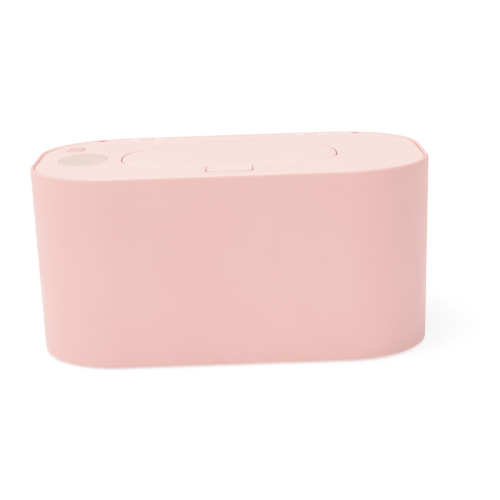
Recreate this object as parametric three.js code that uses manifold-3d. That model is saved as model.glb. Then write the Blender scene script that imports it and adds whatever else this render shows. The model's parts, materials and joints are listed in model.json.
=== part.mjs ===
// Baby wipe warmer: a leaning rounded box with an inset top cover that hinges at the back, an oval
// flip lid, a press latch, a small display and a heated tank for the wipes.
// Millimetres, +Z up, front towards -Y, origin on the table under the middle of the body.
import * as THREE from 'three';
import { mergeVertices, toCreasedNormals } from 'three/addons/utils/BufferGeometryUtils.js';
import Module from 'manifold-3d';

const wasm = await Module();
wasm.setup();
const { Manifold } = wasm;

// Body: the outside of the box
const length = 200;
const depth = 120;
const bodyHeight = 94;
const footLift = 1.5;
const lean = 2;
const cornerRadius = 44;
const wall = 2.4;
const rimWall = 1.8;
const rimFillet = 0.6;
const rimInnerFillet = 0.4;
const baseFillet = 1.2;

// Clearances that every piece shares
const seatGap = 0.3;
const slideGap = 0.4;
const overrun = 1;
const bite = 0.6;

// Top cover: the deck inside the rim, its skirt and its hinge
const deckDrop = 0.6;
const deckThickness = 2.2;
const deckFillet = 0.5;
const coverGap = 0.6;
const hingeSetback = 1.2;
const skirtInset = 1.1;
const skirtThickness = 1.8;
const skirtDepth = 6.2;
const coverKnuckleRadius = 1.4;
const coverHingeDrop = 0.9;
const coverKnuckleLength = 6;
const earWidth = 6;
const earSetback = 55;
const earGusset = 7.5;
const pinRadius = 0.6;
const pinEndWall = 0.8;

// Flip lid: an oval, blunter at the front than at the back
const lidEndMargin = 45.4;
const lidFrontMargin = 29.5;
const lidRearMargin = 25;
const lidBluntShift = 3.75;
const lidGap = 0.8;
const lidThickness = 2;
const lidFillet = 0.5;
const lidCrown = 0.3;
const lidKnuckleRadius = 1.4;
const lidHingeReach = 3.6;
const lidKnuckleLength = 30;
const lidEarLength = 6;
const catchWidth = 10;
const catchThickness = 1.6;
const catchDepth = 2.1;
const noseReach = 0.9;
const noseHeight = 0.7;

// Well under the lid, with the opening that the wipes come out of
const wellWall = 1.6;
const wellFloorThickness = 1.6;
const dispenseEndMargin = 18.6;
const dispenseSideMargin = 12;
const collarWall = 1.4;
const gasketThickness = 1.9;
const gasketWidth = 3;
const gasketClear = 2.5;

// Latch button in front of the lid, and its coil spring
const buttonLength = 22.4;
const buttonWidth = 14.7;
const buttonCorner = 0.8;
const buttonSkin = 1.2;
const buttonSkirt = 3.7;
const buttonLipRise = 0.4;
const buttonDip = 0.5;
const buttonGap = 0.6;
const buttonLug = 1.1;
const buttonLugHeight = 1.2;
const pocketFloorThickness = 1;
const pocketWall = 1.2;
const pocketDepth = 5.5;
const coilRadius = 2.6;
const wireRadius = 0.25;
const coilPitch = 0.95;

// Display window, the parts under it and the power key
const windowSetback = 24.7;
const windowHalfLength = 13.5;
const windowFrontMargin = 39.2;
const windowThickness = 1.2;
const windowDrop = 0.1;
const windowLedge = 1.6;
const windowFillet = 0.3;
const displayBoardThickness = 1.6;
const displayBoardEndMargin = 10;
const displayBoardFrontMargin = 0.2;
const displayBoardBackMargin = 2.5;
const clampPostRadius = 1.8;
const keyEndSetback = 18;
const keyBackSetback = 30.7;
const keySpacing = 7.1;
const keyLength = 8.6;
const keyWidth = 12.4;
const keyCorner = 2;
const keyProud = 0.2;
const keyFlange = 1;
const keyFlangeThickness = 0.8;
const keyFillet = 0.3;
const switchSide = 6;
const switchHeight = 0.6;
const plungerRadius = 1.7;
const plungerHeight = 0.2;

// Cover lining, its screws and the seal that closes on the tank
const liningThickness = 1.4;
const liningFrontScrewSetbacks = [30, 20];
const liningBackScrewSetbacks = [34, 16];
const liningBossRadius = 2.4;
const liningScrewLength = 4.4;
const sealThickness = 1.5;
const sealWidth = 2.4;

// Tank that holds the wipes, and what heats it
const flangeThickness = 1.6;
const flangeInset = 0.4;
const ledgeReach = 5.2;
const ledgeThickness = 2;
const tankClear = 1.3;
const tankWall = 1.6;
const tankFillet = 6;
const heaterThickness = 1.4;
const heaterInset = 16;
const insulationThickness = 3;
const insulationInset = 12;
const insulationPostClear = 12;
const insulationPostSetback = 36;
const insulationPostRadius = 3;
const fuseRadius = 1.6;
const fuseLength = 9;
const fuseLeadRadius = 0.5;
const fuseLeadLength = 3;
const fuseX = -20;
const thermistorRadius = 1.3;
const thermistorLength = 5;
const thermistorX = 20;
const sensorY = -8;

// Base plate, feet and screws
const plateRecess = 1;
const plateThickness = 2.4;
const plateFillet = 0.4;
const padRadius = 4.5;
const padHeight = 1.6;
const padSetback = 0.5;
const bossRadius = 3.5;
const bossHeight = 7;
const bossRib = 1.8;
const screwRadius = 1.4;
const screwHeadRadius = 2.75;
const screwHeadHeight = 1.7;
const screwEndWall = 1.4;
const driveWidth = 0.7;
const driveDepth = 0.8;
const footRadius = 6;
const footRecess = 1;
const footFillet = 0.5;
const footSetbacks = [44, 24];
const baseRibThickness = 1.4;
const baseRibHeight = 3;
const baseRibEndMargin = 40;
const baseRibFrontMargin = 26;
const baseRibPitch = 14;

// Control board, what is on it, and the power socket in the back wall
const electronicsRoom = 10.1;
const boardLength = 64;
const boardWidth = 34;
const boardThickness = 1.6;
const boardLift = 3.1;
const boardRearGap = 0.8;
const boardHoleInset = 4;
const standoffRadius = 2.6;
const boardScrewRadius = 0.8;
const boardScrewHeadRadius = 1.8;
const boardScrewHeadHeight = 1.2;
const chipSide = 9;
const chipHeight = 1.4;
const capacitorRadius = 2.6;
const capacitorHeight = 4.2;
const connectorLength = 10;
const connectorWidth = 5;
const connectorHeight = 4;
const leadRadius = 0.6;
const leadSpread = 4;
const leadBend = 3;
const socketLength = 9;
const socketHeight = 3.2;
const socketDepth = 7.3;
const socketSkin = 0.4;
const socketRecess = 0.4;
const tongueLength = 6.6;
const tongueThickness = 0.7;

// Steps of the round forms
const cornerSteps = 8;
const ovalSteps = 44;
const ellipseSteps = 32;
const filletSteps = 3;
const rodSteps = 12;
const footSteps = 16;
const curlSteps = 8;
const wireSteps = 5;
const coilTurns = 3;

// Levels, from the table up and from the rim down
const rimTop = footLift + bodyHeight;
const plateBottom = footLift + plateRecess;
const plateTop = plateBottom + plateThickness;
const padTop = plateTop + padHeight;
const boardBottom = plateTop + boardLift;
const boardTop = boardBottom + boardThickness;
const partsBottom = boardTop + seatGap;
const insulationBottom = plateTop + electronicsRoom;
const insulationTop = insulationBottom + insulationThickness;
const heaterBottom = insulationTop + seatGap;
const heaterTop = heaterBottom + heaterThickness;
const tankBottom = heaterTop + seatGap;
const tankFloor = tankBottom + tankWall;
const deckTop = rimTop - deckDrop;
const deckUnder = deckTop - deckThickness;
const skirtBottom = deckUnder - skirtDepth;
const sealTop = skirtBottom - seatGap;
const sealBottom = sealTop - sealThickness;
const flangeTop = sealBottom - seatGap;
const flangeBottom = flangeTop - flangeThickness;
const ledgeTop = flangeBottom - seatGap;
const ledgeBottom = ledgeTop - ledgeThickness;
const liningBottom = skirtBottom;
const liningTop = liningBottom + liningThickness;
const displayBoardBottom = liningTop + seatGap;
const displayBoardTop = displayBoardBottom + displayBoardThickness;
const displayPartsBottom = displayBoardTop + seatGap;
const windowTop = deckTop - windowDrop;
const windowBottom = windowTop - windowThickness;
const lidUnder = deckTop - lidThickness;
const gasketTop = lidUnder - seatGap;
const gasketBottom = gasketTop - gasketThickness;
const wellFloorTop = gasketBottom - seatGap;
const wellFloorBottom = wellFloorTop - wellFloorThickness;
const pocketFloorTop = deckTop - pocketDepth;
const pocketFloorBottom = pocketFloorTop - pocketFloorThickness;
const springHeight = coilTurns * coilPitch + 2 * wireRadius;
const springBottom = pocketFloorTop + seatGap;
const buttonCeiling = springBottom + springHeight + seatGap;
const buttonBottom = deckTop - buttonSkirt;
const farAbove = rimTop + overrun;
const farBelow = -overrun;

// Plan places that several pieces line up with
const halfLength = length / 2;
const halfDepth = depth / 2;
const arcX = halfLength - cornerRadius;
const arcY = halfDepth - cornerRadius;
const [footX, footY] = setBack(footSetbacks);
const insulationPostX = boardLength / 2 + insulationPostClear;
const insulationPostY = halfDepth - insulationPostSetback;
const earX = halfLength - earSetback;
const coverInset = rimWall + coverGap;
const coverRear = halfDepth - coverInset - hingeSetback;
const coverHingeY = coverRear - coverKnuckleRadius;
const coverHingeZ = deckTop - coverHingeDrop;
const skirtSide = coverInset + skirtInset;
const skirtRear = halfDepth - (coverHingeY - coverKnuckleRadius - seatGap - slideGap);
const liningSide = skirtSide + skirtThickness + seatGap;
const liningRear = skirtRear + skirtThickness + seatGap;
const ledgeInner = rimWall + ledgeReach;
const tankOuter = ledgeInner + tankClear;
const tankInner = tankOuter + tankWall;
const bossReach = (cornerRadius - lean - wall - padRadius - padSetback) * Math.SQRT1_2;
const bossX = arcX + bossReach;
const bossY = arcY + bossReach;
const ovalHalfLength = halfLength - lidEndMargin;
const ovalFront = lidFrontMargin - halfDepth;
const ovalRear = halfDepth - lidRearMargin;
const ovalCentreY = (ovalFront + ovalRear) / 2 - lidBluntShift;
const ovalFrontReach = ovalCentreY - ovalFront;
const ovalRearReach = ovalRear - ovalCentreY;
const dispenseHalfLength = ovalHalfLength - dispenseEndMargin;
const dispenseHalfWidth = ovalFrontReach - dispenseSideMargin;
const keyX = keyEndSetback - halfLength;
const keyY = halfDepth - keyBackSetback;
const windowX = windowSetback - halfLength;
const windowFront = windowFrontMargin - halfDepth;
const windowBack = keyY - keyWidth / 2 - keySpacing;
const windowY = (windowFront + windowBack) / 2;
const windowHalfWidth = (windowBack - windowFront) / 2;
const lidHingeY = ovalRear + lidHingeReach;
const lidHingeZ = deckTop - lidKnuckleRadius;
const buttonRear = ovalFront - lidGap;
const buttonFront = buttonRear - buttonWidth;
const buttonY = (buttonRear + buttonFront) / 2;
const boardRear = halfDepth - lean - wall - boardRearGap;
const boardY = boardRear - boardWidth / 2;
const socketMouth = halfDepth - lean - socketRecess;
const socketZ = partsBottom + socketHeight / 2;
const connectorX = boardLength / 4;
const connectorY = boardRear - boardWidth + connectorWidth;
const leadY = connectorY - connectorWidth / 2 - seatGap - leadBend - leadRadius;

// A piece's solid from a closed three.js geometry
function solidOf(geometry) {
  geometry.deleteAttribute('normal');
  geometry.deleteAttribute('uv');
  const welded = mergeVertices(geometry);
  const mesh = new wasm.Mesh({
    numProp: 3,
    vertProperties: Float32Array.from(welded.attributes.position.array),
    triVerts: Uint32Array.from(welded.index.array),
  });
  return new Manifold(mesh);
}

function join(...solids) {
  return Manifold.union(solids.flat());
}

function box(x0, x1, y0, y1, z0, z1) {
  const geometry = new THREE.BoxGeometry(x1 - x0, y1 - y0, z1 - z0);
  geometry.translate((x0 + x1) / 2, (y0 + y1) / 2, (z0 + z1) / 2);
  return solidOf(geometry);
}

// An upright rod
function rod(radius, x, y, z0, z1, steps = rodSteps) {
  const geometry = new THREE.CylinderGeometry(radius, radius, z1 - z0, steps);
  geometry.rotateX(Math.PI / 2);
  geometry.translate(x, y, (z0 + z1) / 2);
  return solidOf(geometry);
}

// A rod that lies along X
function bar(radius, x0, x1, y, z, steps = rodSteps) {
  const geometry = new THREE.CylinderGeometry(radius, radius, x1 - x0, steps);
  geometry.rotateZ(Math.PI / 2);
  geometry.translate((x0 + x1) / 2, y, z);
  return solidOf(geometry);
}

// A turned piece about Z, from profile points of radius and height that start and end on the axis
function turned(profile, steps = rodSteps) {
  const points = profile.map(([radius, height]) => new THREE.Vector2(radius, height));
  const geometry = new THREE.LatheGeometry(points, steps);
  geometry.rotateX(Math.PI / 2);
  return solidOf(geometry);
}

// A closed skin over rings of equal point counts, each ring level at its own height
function loft(rings) {
  const count = rings[0].points.length;
  const positions = [];
  for (const { points, z } of rings) {
    for (const [x, y] of points) positions.push(x, y, z);
  }
  const caps = [rings[0], rings[rings.length - 1]];
  for (const { points, z } of caps) {
    const x = points.reduce((sum, point) => sum + point[0], 0) / count;
    const y = points.reduce((sum, point) => sum + point[1], 0) / count;
    positions.push(x, y, z);
  }
  const lowerCentre = rings.length * count;
  const upperCentre = lowerCentre + 1;
  const upperStart = (rings.length - 1) * count;
  const index = [];
  for (let i = 0; i < count; i += 1) {
    const next = (i + 1) % count;
    index.push(lowerCentre, next, i);
    index.push(upperCentre, upperStart + i, upperStart + next);
    for (let ring = 0; ring < rings.length - 1; ring += 1) {
      const low = ring * count;
      const high = low + count;
      index.push(low + i, low + next, high + next);
      index.push(low + i, high + next, high + i);
    }
  }
  const geometry = new THREE.BufferGeometry();
  geometry.setAttribute('position', new THREE.Float32BufferAttribute(positions, 3));
  geometry.setIndex(index);
  return solidOf(geometry);
}

// A loft whose lower and upper edges are rounded: ringAt(z, inset) gives the outline at a height
function softLoft(ringAt, z0, z1, lower, upper) {
  const rings = [];
  for (let step = 0; step <= filletSteps; step += 1) {
    const angle = (step / filletSteps) * Math.PI / 2;
    const inset = lower * (1 - Math.sin(angle));
    if (lower > 0 || step === filletSteps) {
      rings.push(ringAt(z0 + lower * (1 - Math.cos(angle)), inset));
    }
  }
  for (let step = 0; step <= filletSteps; step += 1) {
    const angle = (step / filletSteps) * Math.PI / 2;
    const inset = upper * (1 - Math.cos(angle));
    if (upper > 0 || step === 0) {
      rings.push(ringAt(z1 - upper * (1 - Math.sin(angle)), inset));
    }
  }
  return loft(rings);
}

// A rounded rectangle from -x to +x and from front to back
function roundedRing(z, x, front, back, radius, steps = cornerSteps) {
  const points = [];
  const corners = [[x, back], [-x, back], [-x, front], [x, front]];
  corners.forEach(([cornerX, cornerY], quarter) => {
    const centreX = cornerX - Math.sign(cornerX) * radius;
    const centreY = cornerY === back ? back - radius : front + radius;
    for (let step = 0; step <= steps; step += 1) {
      const angle = (quarter + step / steps) * Math.PI / 2;
      points.push([centreX + radius * Math.cos(angle), centreY + radius * Math.sin(angle)]);
    }
  });
  return { z, points };
}

// The body's outline at a height, drawn in by an inset, or by another one at the back
function bodyRing(z, inset, rearInset = inset) {
  const drawn = inset + lean * (rimTop - z) / bodyHeight;
  const drawnRear = drawn + rearInset - inset;
  return roundedRing(z, halfLength - drawn, drawn - halfDepth, halfDepth - drawnRear, cornerRadius - drawn);
}

// The lid's oval, grown outwards: a superellipse whose front and back halves differ
const frontPower = 3;
const rearPower = 2.3;
function ovalRing(z, grow, scale = 1) {
  const points = [];
  for (let step = 0; step < ovalSteps; step += 1) {
    const angle = (step / ovalSteps) * 2 * Math.PI;
    const cos = Math.cos(angle);
    const sin = Math.sin(angle);
    const power = sin < 0 ? frontPower : rearPower;
    const reach = sin < 0 ? ovalFrontReach : ovalRearReach;
    const x = Math.sign(cos) * Math.abs(cos) ** (2 / power) * (ovalHalfLength + grow);
    const y = Math.sign(sin) * Math.abs(sin) ** (2 / power) * (reach + grow);
    points.push([x * scale, ovalCentreY + y * scale]);
  }
  return { z, points };
}

function ellipseRing(z, x, y, halfX, halfY, steps = ellipseSteps) {
  const points = [];
  for (let step = 0; step < steps; step += 1) {
    const angle = (step / steps) * 2 * Math.PI;
    points.push([x + halfX * Math.cos(angle), y + halfY * Math.sin(angle)]);
  }
  return { z, points };
}

function movedRing(ring, x, y) {
  return { z: ring.z, points: ring.points.map((point) => [point[0] + x, point[1] + y]) };
}

// A straight-sided plate between two heights
function plate(ringAt, z0, z1) {
  return loft([ringAt(z0), ringAt(z1)]);
}

// A round-headed screw that stands head down at the origin
function screw(headRadius, headHeight, shankRadius, shankLength) {
  return turned([
    [0, 0],
    [headRadius * screwCrownShare, 0],
    [headRadius, headHeight * screwCrownShare / 2],
    [headRadius, headHeight],
    [shankRadius, headHeight],
    [shankRadius, headHeight + shankLength - shankRadius],
    [0, headHeight + shankLength],
  ]);
}
const screwCrownShare = 0.7;

// The cross in a screw head for the driver
function driveCross() {
  const arm = screwHeadRadius * driveReachShare;
  const half = driveWidth / 2;
  return join(
    box(-arm, arm, -half, half, -overrun, driveDepth),
    box(-half, half, -arm, arm, -overrun, driveDepth),
  );
}
const driveReachShare = 0.55;

// The four corners of a rectangle, for pieces that repeat there
function corners(x, y) {
  return [[-x, -y], [x, -y], [-x, y], [x, y]];
}

// Outer shell: one leaning skin, open below, with the ledge that carries the tank, the bosses for
// the base screws, the ears of the cover hinge and the hole for the power socket
function outerShell() {
  const skin = softLoft((z, inset) => bodyRing(z, inset), footLift, rimTop, baseFillet, rimFillet);
  const lower = plate((z) => bodyRing(z, wall), farBelow, ledgeBottom);
  const middle = plate((z) => bodyRing(z, ledgeInner), ledgeBottom - overrun, ledgeTop + overrun);
  const upper = loft([
    bodyRing(ledgeTop, rimWall),
    bodyRing(rimTop - rimInnerFillet, rimWall),
    bodyRing(rimTop, rimWall - rimInnerFillet),
    bodyRing(farAbove, rimWall - rimInnerFillet),
  ]);
  const hollow = skin.subtract(join(lower, middle, upper));
  const bosses = [];
  const pilots = [];
  for (const [x, y] of corners(bossX, bossY)) {
    bosses.push(screwBoss(x, y));
    pilots.push(rod(screwRadius + seatGap, x, y, padTop, padTop + seatGap + bossHeight - screwEndWall));
  }
  const ears = [-earX, earX].map((x) => hingeEar(x));
  const fused = join(hollow, bosses, ears);
  return fused.subtract(join(pilots, socketHole(), coverPinBores()));
}

// A boss for a base screw, with the rib that ties it to the round corner of the wall
function screwBoss(x, y) {
  const z0 = padTop + seatGap;
  const z1 = z0 + bossHeight;
  const reach = padRadius + padSetback + bite + lean * (z1 - footLift) / bodyHeight;
  const turn = THREE.MathUtils.radToDeg(Math.atan2(Math.sign(y), Math.sign(x)));
  const rib = box(0, reach, -bossRib / 2, bossRib / 2, z0, z1);
  return join(rod(bossRadius, x, y, z0, z1), rib.rotate([0, 0, turn]).translate([x, y, 0]));
}

// An ear of the cover hinge: a barrel that swells into a gusset on the rim wall
function hingeEar(x) {
  const x0 = x - earWidth / 2;
  const x1 = x + earWidth / 2;
  const wallY = halfDepth - rimWall - lean * (rimTop - coverHingeZ + earGusset) / bodyHeight;
  const barrel = bar(coverKnuckleRadius, x0, x1, coverHingeY, coverHingeZ);
  const foot = box(x0, x1, wallY, wallY + bite, coverHingeZ - earGusset, coverHingeZ + bite);
  return Manifold.hull([barrel, foot]);
}

// Half the length of each cover hinge bore, from the middle of its ear
const coverBoreReach = earWidth / 2 + slideGap + coverKnuckleLength - pinEndWall;

function coverPinBores() {
  return join([-earX, earX].map((x) => {
    const radius = pinRadius + seatGap;
    return bar(radius, x - coverBoreReach, x + coverBoreReach, coverHingeY, coverHingeZ);
  }));
}

// A rounded opening or block that runs front to back, given by its middle and its half sizes
function tunnel(x, z, halfX, halfZ, y0, y1) {
  const ring = (level) => roundedRing(level, halfX, -halfZ, halfZ, halfZ * tunnelRoundShare);
  return loft([ring(-y1), ring(-y0)]).rotate([90, 0, 0]).translate([x, 0, z]);
}
const tunnelRoundShare = 0.95;

function socketHole() {
  const halfX = socketLength / 2 + seatGap;
  const halfZ = socketHeight / 2 + seatGap;
  return tunnel(0, socketZ, halfX, halfZ, socketMouth - socketDepth, halfDepth + overrun);
}

// Base plate: closes the shell from below and carries the electronics
function basePlate() {
  const outline = (z, inset) => bodyRing(z, wall + seatGap + inset);
  const sheet = softLoft(outline, plateBottom, plateTop, plateFillet, 0);
  const raised = [];
  const cuts = [];
  for (const [x, y] of corners(bossX, bossY)) {
    raised.push(rod(padRadius, x, y, plateTop - bite, padTop));
    cuts.push(rod(screwHeadRadius + seatGap, x, y, farBelow, plateTop));
    cuts.push(rod(screwRadius + seatGap, x, y, farBelow, padTop + overrun));
  }
  for (const [x, y] of corners(footX, footY)) {
    cuts.push(rod(footRadius + seatGap, x, y, farBelow, plateBottom + footRecess));
  }
  for (const [x, y] of corners(insulationPostX, insulationPostY)) {
    raised.push(rod(insulationPostRadius, x, y, plateTop - bite, insulationBottom - seatGap));
  }
  for (const [x, y] of boardHoles()) {
    raised.push(rod(standoffRadius, x, y, plateTop - bite, boardBottom - seatGap));
    cuts.push(rod(boardScrewRadius + seatGap, x, y, plateTop, boardBottom));
  }
  const ribEnd = boardRear - boardWidth - baseRibThickness;
  for (let y = baseRibFrontMargin - halfDepth; y < ribEnd; y += baseRibPitch) {
    const x = halfLength - baseRibEndMargin;
    raised.push(box(-x, x, y, y + baseRibThickness, plateTop - bite, plateTop + baseRibHeight));
  }
  return join(sheet, raised).subtract(join(cuts));
}

function baseScrew(x, y) {
  const headBottom = plateTop - seatGap - screwHeadHeight;
  const shankTop = padTop + seatGap + bossHeight - screwEndWall - seatGap;
  const shank = shankTop - headBottom - screwHeadHeight;
  const blank = screw(screwHeadRadius, screwHeadHeight, screwRadius, shank);
  return blank.subtract(driveCross()).translate([x, y, headBottom]);
}

function foot(x, y) {
  const top = plateBottom + footRecess - seatGap;
  const soft = footFillet;
  const profile = [
    [0, 0],
    [footRadius - soft, 0],
    [footRadius - soft * (1 - Math.SQRT1_2), soft * (1 - Math.SQRT1_2)],
    [footRadius, soft],
    [footRadius, top],
    [0, top],
  ];
  return turned(profile, footSteps).translate([x, y, 0]);
}

// Tank: an open tub with a round lower edge, hung by its flange on the ledge of the shell
function innerTank() {
  const outside = (z, inset) => bodyRing(z, tankOuter + inset);
  const inside = (z, inset) => bodyRing(z, tankInner + inset);
  const flange = (z) => bodyRing(z, rimWall + flangeInset);
  const tub = softLoft(outside, tankBottom, flangeTop, tankFillet, 0);
  const hollow = softLoft(inside, tankFloor, flangeTop + overrun, tankFillet - tankWall, 0);
  return join(tub, plate(flange, flangeBottom, flangeTop)).subtract(hollow);
}

function heaterPad() {
  return plate((z) => bodyRing(z, heaterInset), heaterBottom, heaterTop);
}

// Insulation under the heater, with slots for the fuse and the thermistor and a way for the leads
function insulationPad() {
  const pad = plate((z) => bodyRing(z, insulationInset), insulationBottom, insulationTop);
  const z0 = insulationBottom - overrun;
  const z1 = insulationTop + overrun;
  const slot = (x, halfLong, radius) => {
    const reach = radius + seatGap;
    return box(x - halfLong - seatGap, x + halfLong + seatGap, sensorY - reach, sensorY + reach, z0, z1);
  };
  const leadHalf = leadSpread / 2 + leadRadius + slideGap;
  const leadReach = leadRadius + slideGap;
  return pad.subtract(join(
    slot(fuseX, fuseLength / 2 + fuseLeadLength, fuseRadius),
    slot(thermistorX, thermistorLength / 2, thermistorRadius),
    box(connectorX - leadHalf, connectorX + leadHalf, leadY - leadReach, leadY + leadReach, z0, z1),
  ));
}

// A fuse or sensor body that lies along X just under the heater
function thermalFuse() {
  const end = fuseLength / 2 + fuseLeadLength;
  const soft = fuseLeadRadius;
  const body = turned([
    [0, -end],
    [fuseLeadRadius, -end],
    [fuseLeadRadius, -fuseLength / 2],
    [fuseRadius - soft, -fuseLength / 2],
    [fuseRadius, soft - fuseLength / 2],
    [fuseRadius, fuseLength / 2 - soft],
    [fuseRadius - soft, fuseLength / 2],
    [fuseLeadRadius, fuseLength / 2],
    [fuseLeadRadius, end],
    [0, end],
  ]);
  return body.rotate([0, 90, 0]).translate([fuseX, sensorY, heaterBottom - seatGap - fuseRadius]);
}

function thermistor() {
  const profile = [];
  const straight = thermistorLength / 2 - thermistorRadius;
  for (let step = 0; step <= 2 * filletSteps; step += 1) {
    const angle = (step / (2 * filletSteps) - 1 / 2) * Math.PI;
    const shift = angle < 0 ? -straight : straight;
    const radius = Math.abs(Math.cos(angle)) < 1e-9 ? 0 : thermistorRadius * Math.cos(angle);
    profile.push([radius, thermistorRadius * Math.sin(angle) + shift]);
  }
  const z = heaterBottom - seatGap - thermistorRadius;
  return turned(profile).rotate([0, 90, 0]).translate([thermistorX, sensorY, z]);
}

function boardHoles() {
  const x = boardLength / 2 - boardHoleInset;
  return corners(x, boardWidth / 2 - boardHoleInset).map((place) => [place[0], boardY + place[1]]);
}

function controlBoard() {
  const x = boardLength / 2;
  const y0 = boardRear - boardWidth;
  const holes = boardHoles().map((place) => {
    return rod(boardScrewRadius + seatGap, ...place, boardBottom - overrun, boardTop + overrun);
  });
  return box(-x, x, y0, boardRear, boardBottom, boardTop).subtract(join(holes));
}

function boardScrew(x, y) {
  const headTop = boardTop + seatGap + boardScrewHeadHeight;
  const shank = boardTop + seatGap - plateTop - seatGap;
  const upright = screw(boardScrewHeadRadius, boardScrewHeadHeight, boardScrewRadius, shank);
  return upright.rotate([180, 0, 0]).translate([x, y, headTop]);
}

function controlChip() {
  const half = chipSide / 2;
  const x = -boardLength / 8;
  const soft = (z, inset) => roundedRing(z, half - inset, inset - half, half - inset, chipHeight / 4, 1);
  const body = softLoft(soft, partsBottom, partsBottom + chipHeight, 0, chipHeight / 4);
  return body.translate([x, boardRear - boardWidth + chipSide, 0]);
}

function capacitor() {
  const soft = capacitorRadius / 8;
  const profile = [
    [0, 0],
    [capacitorRadius, 0],
    [capacitorRadius, capacitorHeight - soft],
    [capacitorRadius - soft, capacitorHeight],
    [0, capacitorHeight],
  ];
  return turned(profile).translate([-boardLength / 4, boardRear - boardWidth / 4, partsBottom]);
}

// The terminal that the two heater leads plug into
function leadConnector() {
  const x = connectorLength / 2;
  const y = connectorWidth / 2;
  const shell = box(-x, x, -y, y, partsBottom, partsBottom + connectorHeight);
  const mouths = [-leadSpread / 2, leadSpread / 2].map((place) => {
    const half = leadRadius + seatGap;
    const middle = partsBottom + connectorHeight / 2;
    return box(place - half, place + half, -y - overrun, -y / 2, middle - half, middle + half);
  });
  return shell.subtract(join(mouths)).translate([connectorX, connectorY, 0]);
}

// A heater lead: out of the connector, round a bend and up to the heater
function heaterLead(side) {
  const x = connectorX + side * leadSpread / 2;
  const z = partsBottom + connectorHeight / 2;
  const start = connectorY - connectorWidth / 2 - seatGap;
  const route = new THREE.CurvePath();
  const inside = new THREE.Vector3(x, connectorY - connectorWidth / 3, z);
  const bendStart = new THREE.Vector3(x, start, z);
  const bendCorner = new THREE.Vector3(x, leadY, z);
  const bendEnd = new THREE.Vector3(x, leadY, z + leadBend);
  const top = new THREE.Vector3(x, leadY, heaterBottom - seatGap);
  route.add(new THREE.LineCurve3(inside, bendStart));
  route.add(new THREE.QuadraticBezierCurve3(bendStart, bendCorner, bendEnd));
  route.add(new THREE.LineCurve3(bendEnd, top));
  return tube(route, leadRadius, 2 * filletSteps, 3 * filletSteps);
}

// A round tube with flat ends along a curve
function tube(route, radius, sides, steps) {
  const outline = [];
  for (let side = 0; side < sides; side += 1) {
    const angle = (side / sides) * 2 * Math.PI;
    outline.push(new THREE.Vector2(radius * Math.cos(angle), radius * Math.sin(angle)));
  }
  const section = new THREE.Shape(outline);
  return solidOf(new THREE.ExtrudeGeometry(section, { steps, extrudePath: route }));
}

// Power socket: a drawn metal shell with a tongue inside
function powerSocket() {
  const back = socketMouth - socketDepth;
  const halfX = socketLength / 2;
  const halfZ = socketHeight / 2;
  const shell = tunnel(0, socketZ, halfX, halfZ, back, socketMouth);
  const inX = halfX - socketSkin;
  const inZ = halfZ - socketSkin;
  const mouth = tunnel(0, socketZ, inX, inZ, back + 2 * socketSkin, halfDepth);
  const x = tongueLength / 2;
  const z = tongueThickness / 2;
  const tongue = box(-x, x, back + socketSkin, socketMouth - 2 * socketSkin, socketZ - z, socketZ + z);
  return join(shell.subtract(mouth), tongue);
}

// Top cover: the deck, its skirt, the well under the lid, the latch pocket and both hinges
function topCover() {
  const outline = (z, inset) => bodyRing(z, coverInset + inset, coverInset + hingeSetback + inset);
  const deck = softLoft(outline, deckUnder, deckTop, 0, deckFillet);
  const added = join(
    deck,
    coverSkirt(),
    coverKnuckles(),
    plate((z) => ovalRing(z, lidGap + wellWall), wellFloorBottom, deckUnder + bite),
    dispenseCollar(),
    latchPocketBlock(),
    lidHingeBlock(),
    clampPosts(),
    liningBosses(),
  );
  const removed = join(
    plate((z) => ovalRing(z, lidGap), wellFloorTop, farAbove),
    plate((z) => dispenseRing(z, 0), liningBottom - overrun, farAbove),
    latchPocketCut(),
    lidHingeCut(),
    windowCut(),
    keyCut(),
    earNotches(),
    coverPinBores(),
    lidPinBore(),
    liningScrewBores(),
  );
  return added.subtract(removed);
}

function coverSkirt() {
  const outer = (z) => bodyRing(z, skirtSide, skirtRear);
  const inner = (z) => bodyRing(z, skirtSide + skirtThickness, skirtRear + skirtThickness);
  const tall = plate(outer, skirtBottom, deckUnder + bite);
  return tall.subtract(plate(inner, skirtBottom - overrun, deckUnder));
}

// Two knuckles beside each ear
function coverKnuckles() {
  const near = earWidth / 2 + slideGap;
  return [-earX, earX].flatMap((x) => [-1, 1].map((side) => {
    const ends = [x + side * near, x + side * (near + coverKnuckleLength)].sort((a, b) => a - b);
    return bar(coverKnuckleRadius, ...ends, coverHingeY, coverHingeZ);
  }));
}

function earNotches() {
  const half = earWidth / 2 + slideGap;
  const front = coverHingeY - coverKnuckleRadius - slideGap;
  return [-earX, earX].map((x) => box(x - half, x + half, front, halfDepth, liningBottom, farAbove));
}

function dispenseRing(z, grow) {
  return ellipseRing(z, 0, ovalCentreY, dispenseHalfLength + grow, dispenseHalfWidth + grow);
}

// The collar hangs from the well floor through the lining
function dispenseCollar() {
  return plate((z) => dispenseRing(z, collarWall), liningBottom, wellFloorBottom + bite);
}

function latchPocketCut() {
  const halfX = buttonLength / 2;
  const round = buttonCorner + buttonGap;
  const ring = (z) => roundedRing(z, halfX + buttonGap, buttonFront - buttonGap, ovalFront, round);
  const lugRoom = halfX + buttonLug + slideGap;
  const back = buttonRear - buttonSkin;
  return join(
    plate(ring, pocketFloorTop, farAbove),
    box(-lugRoom, lugRoom, buttonFront - buttonGap, back, pocketFloorTop, deckUnder),
  );
}

function latchPocketBlock() {
  const halfX = buttonLength / 2 + buttonLug + slideGap + pocketWall;
  const front = buttonFront - buttonGap - pocketWall;
  return box(-halfX, halfX, front, ovalFront, pocketFloorBottom, deckUnder + bite);
}

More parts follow.
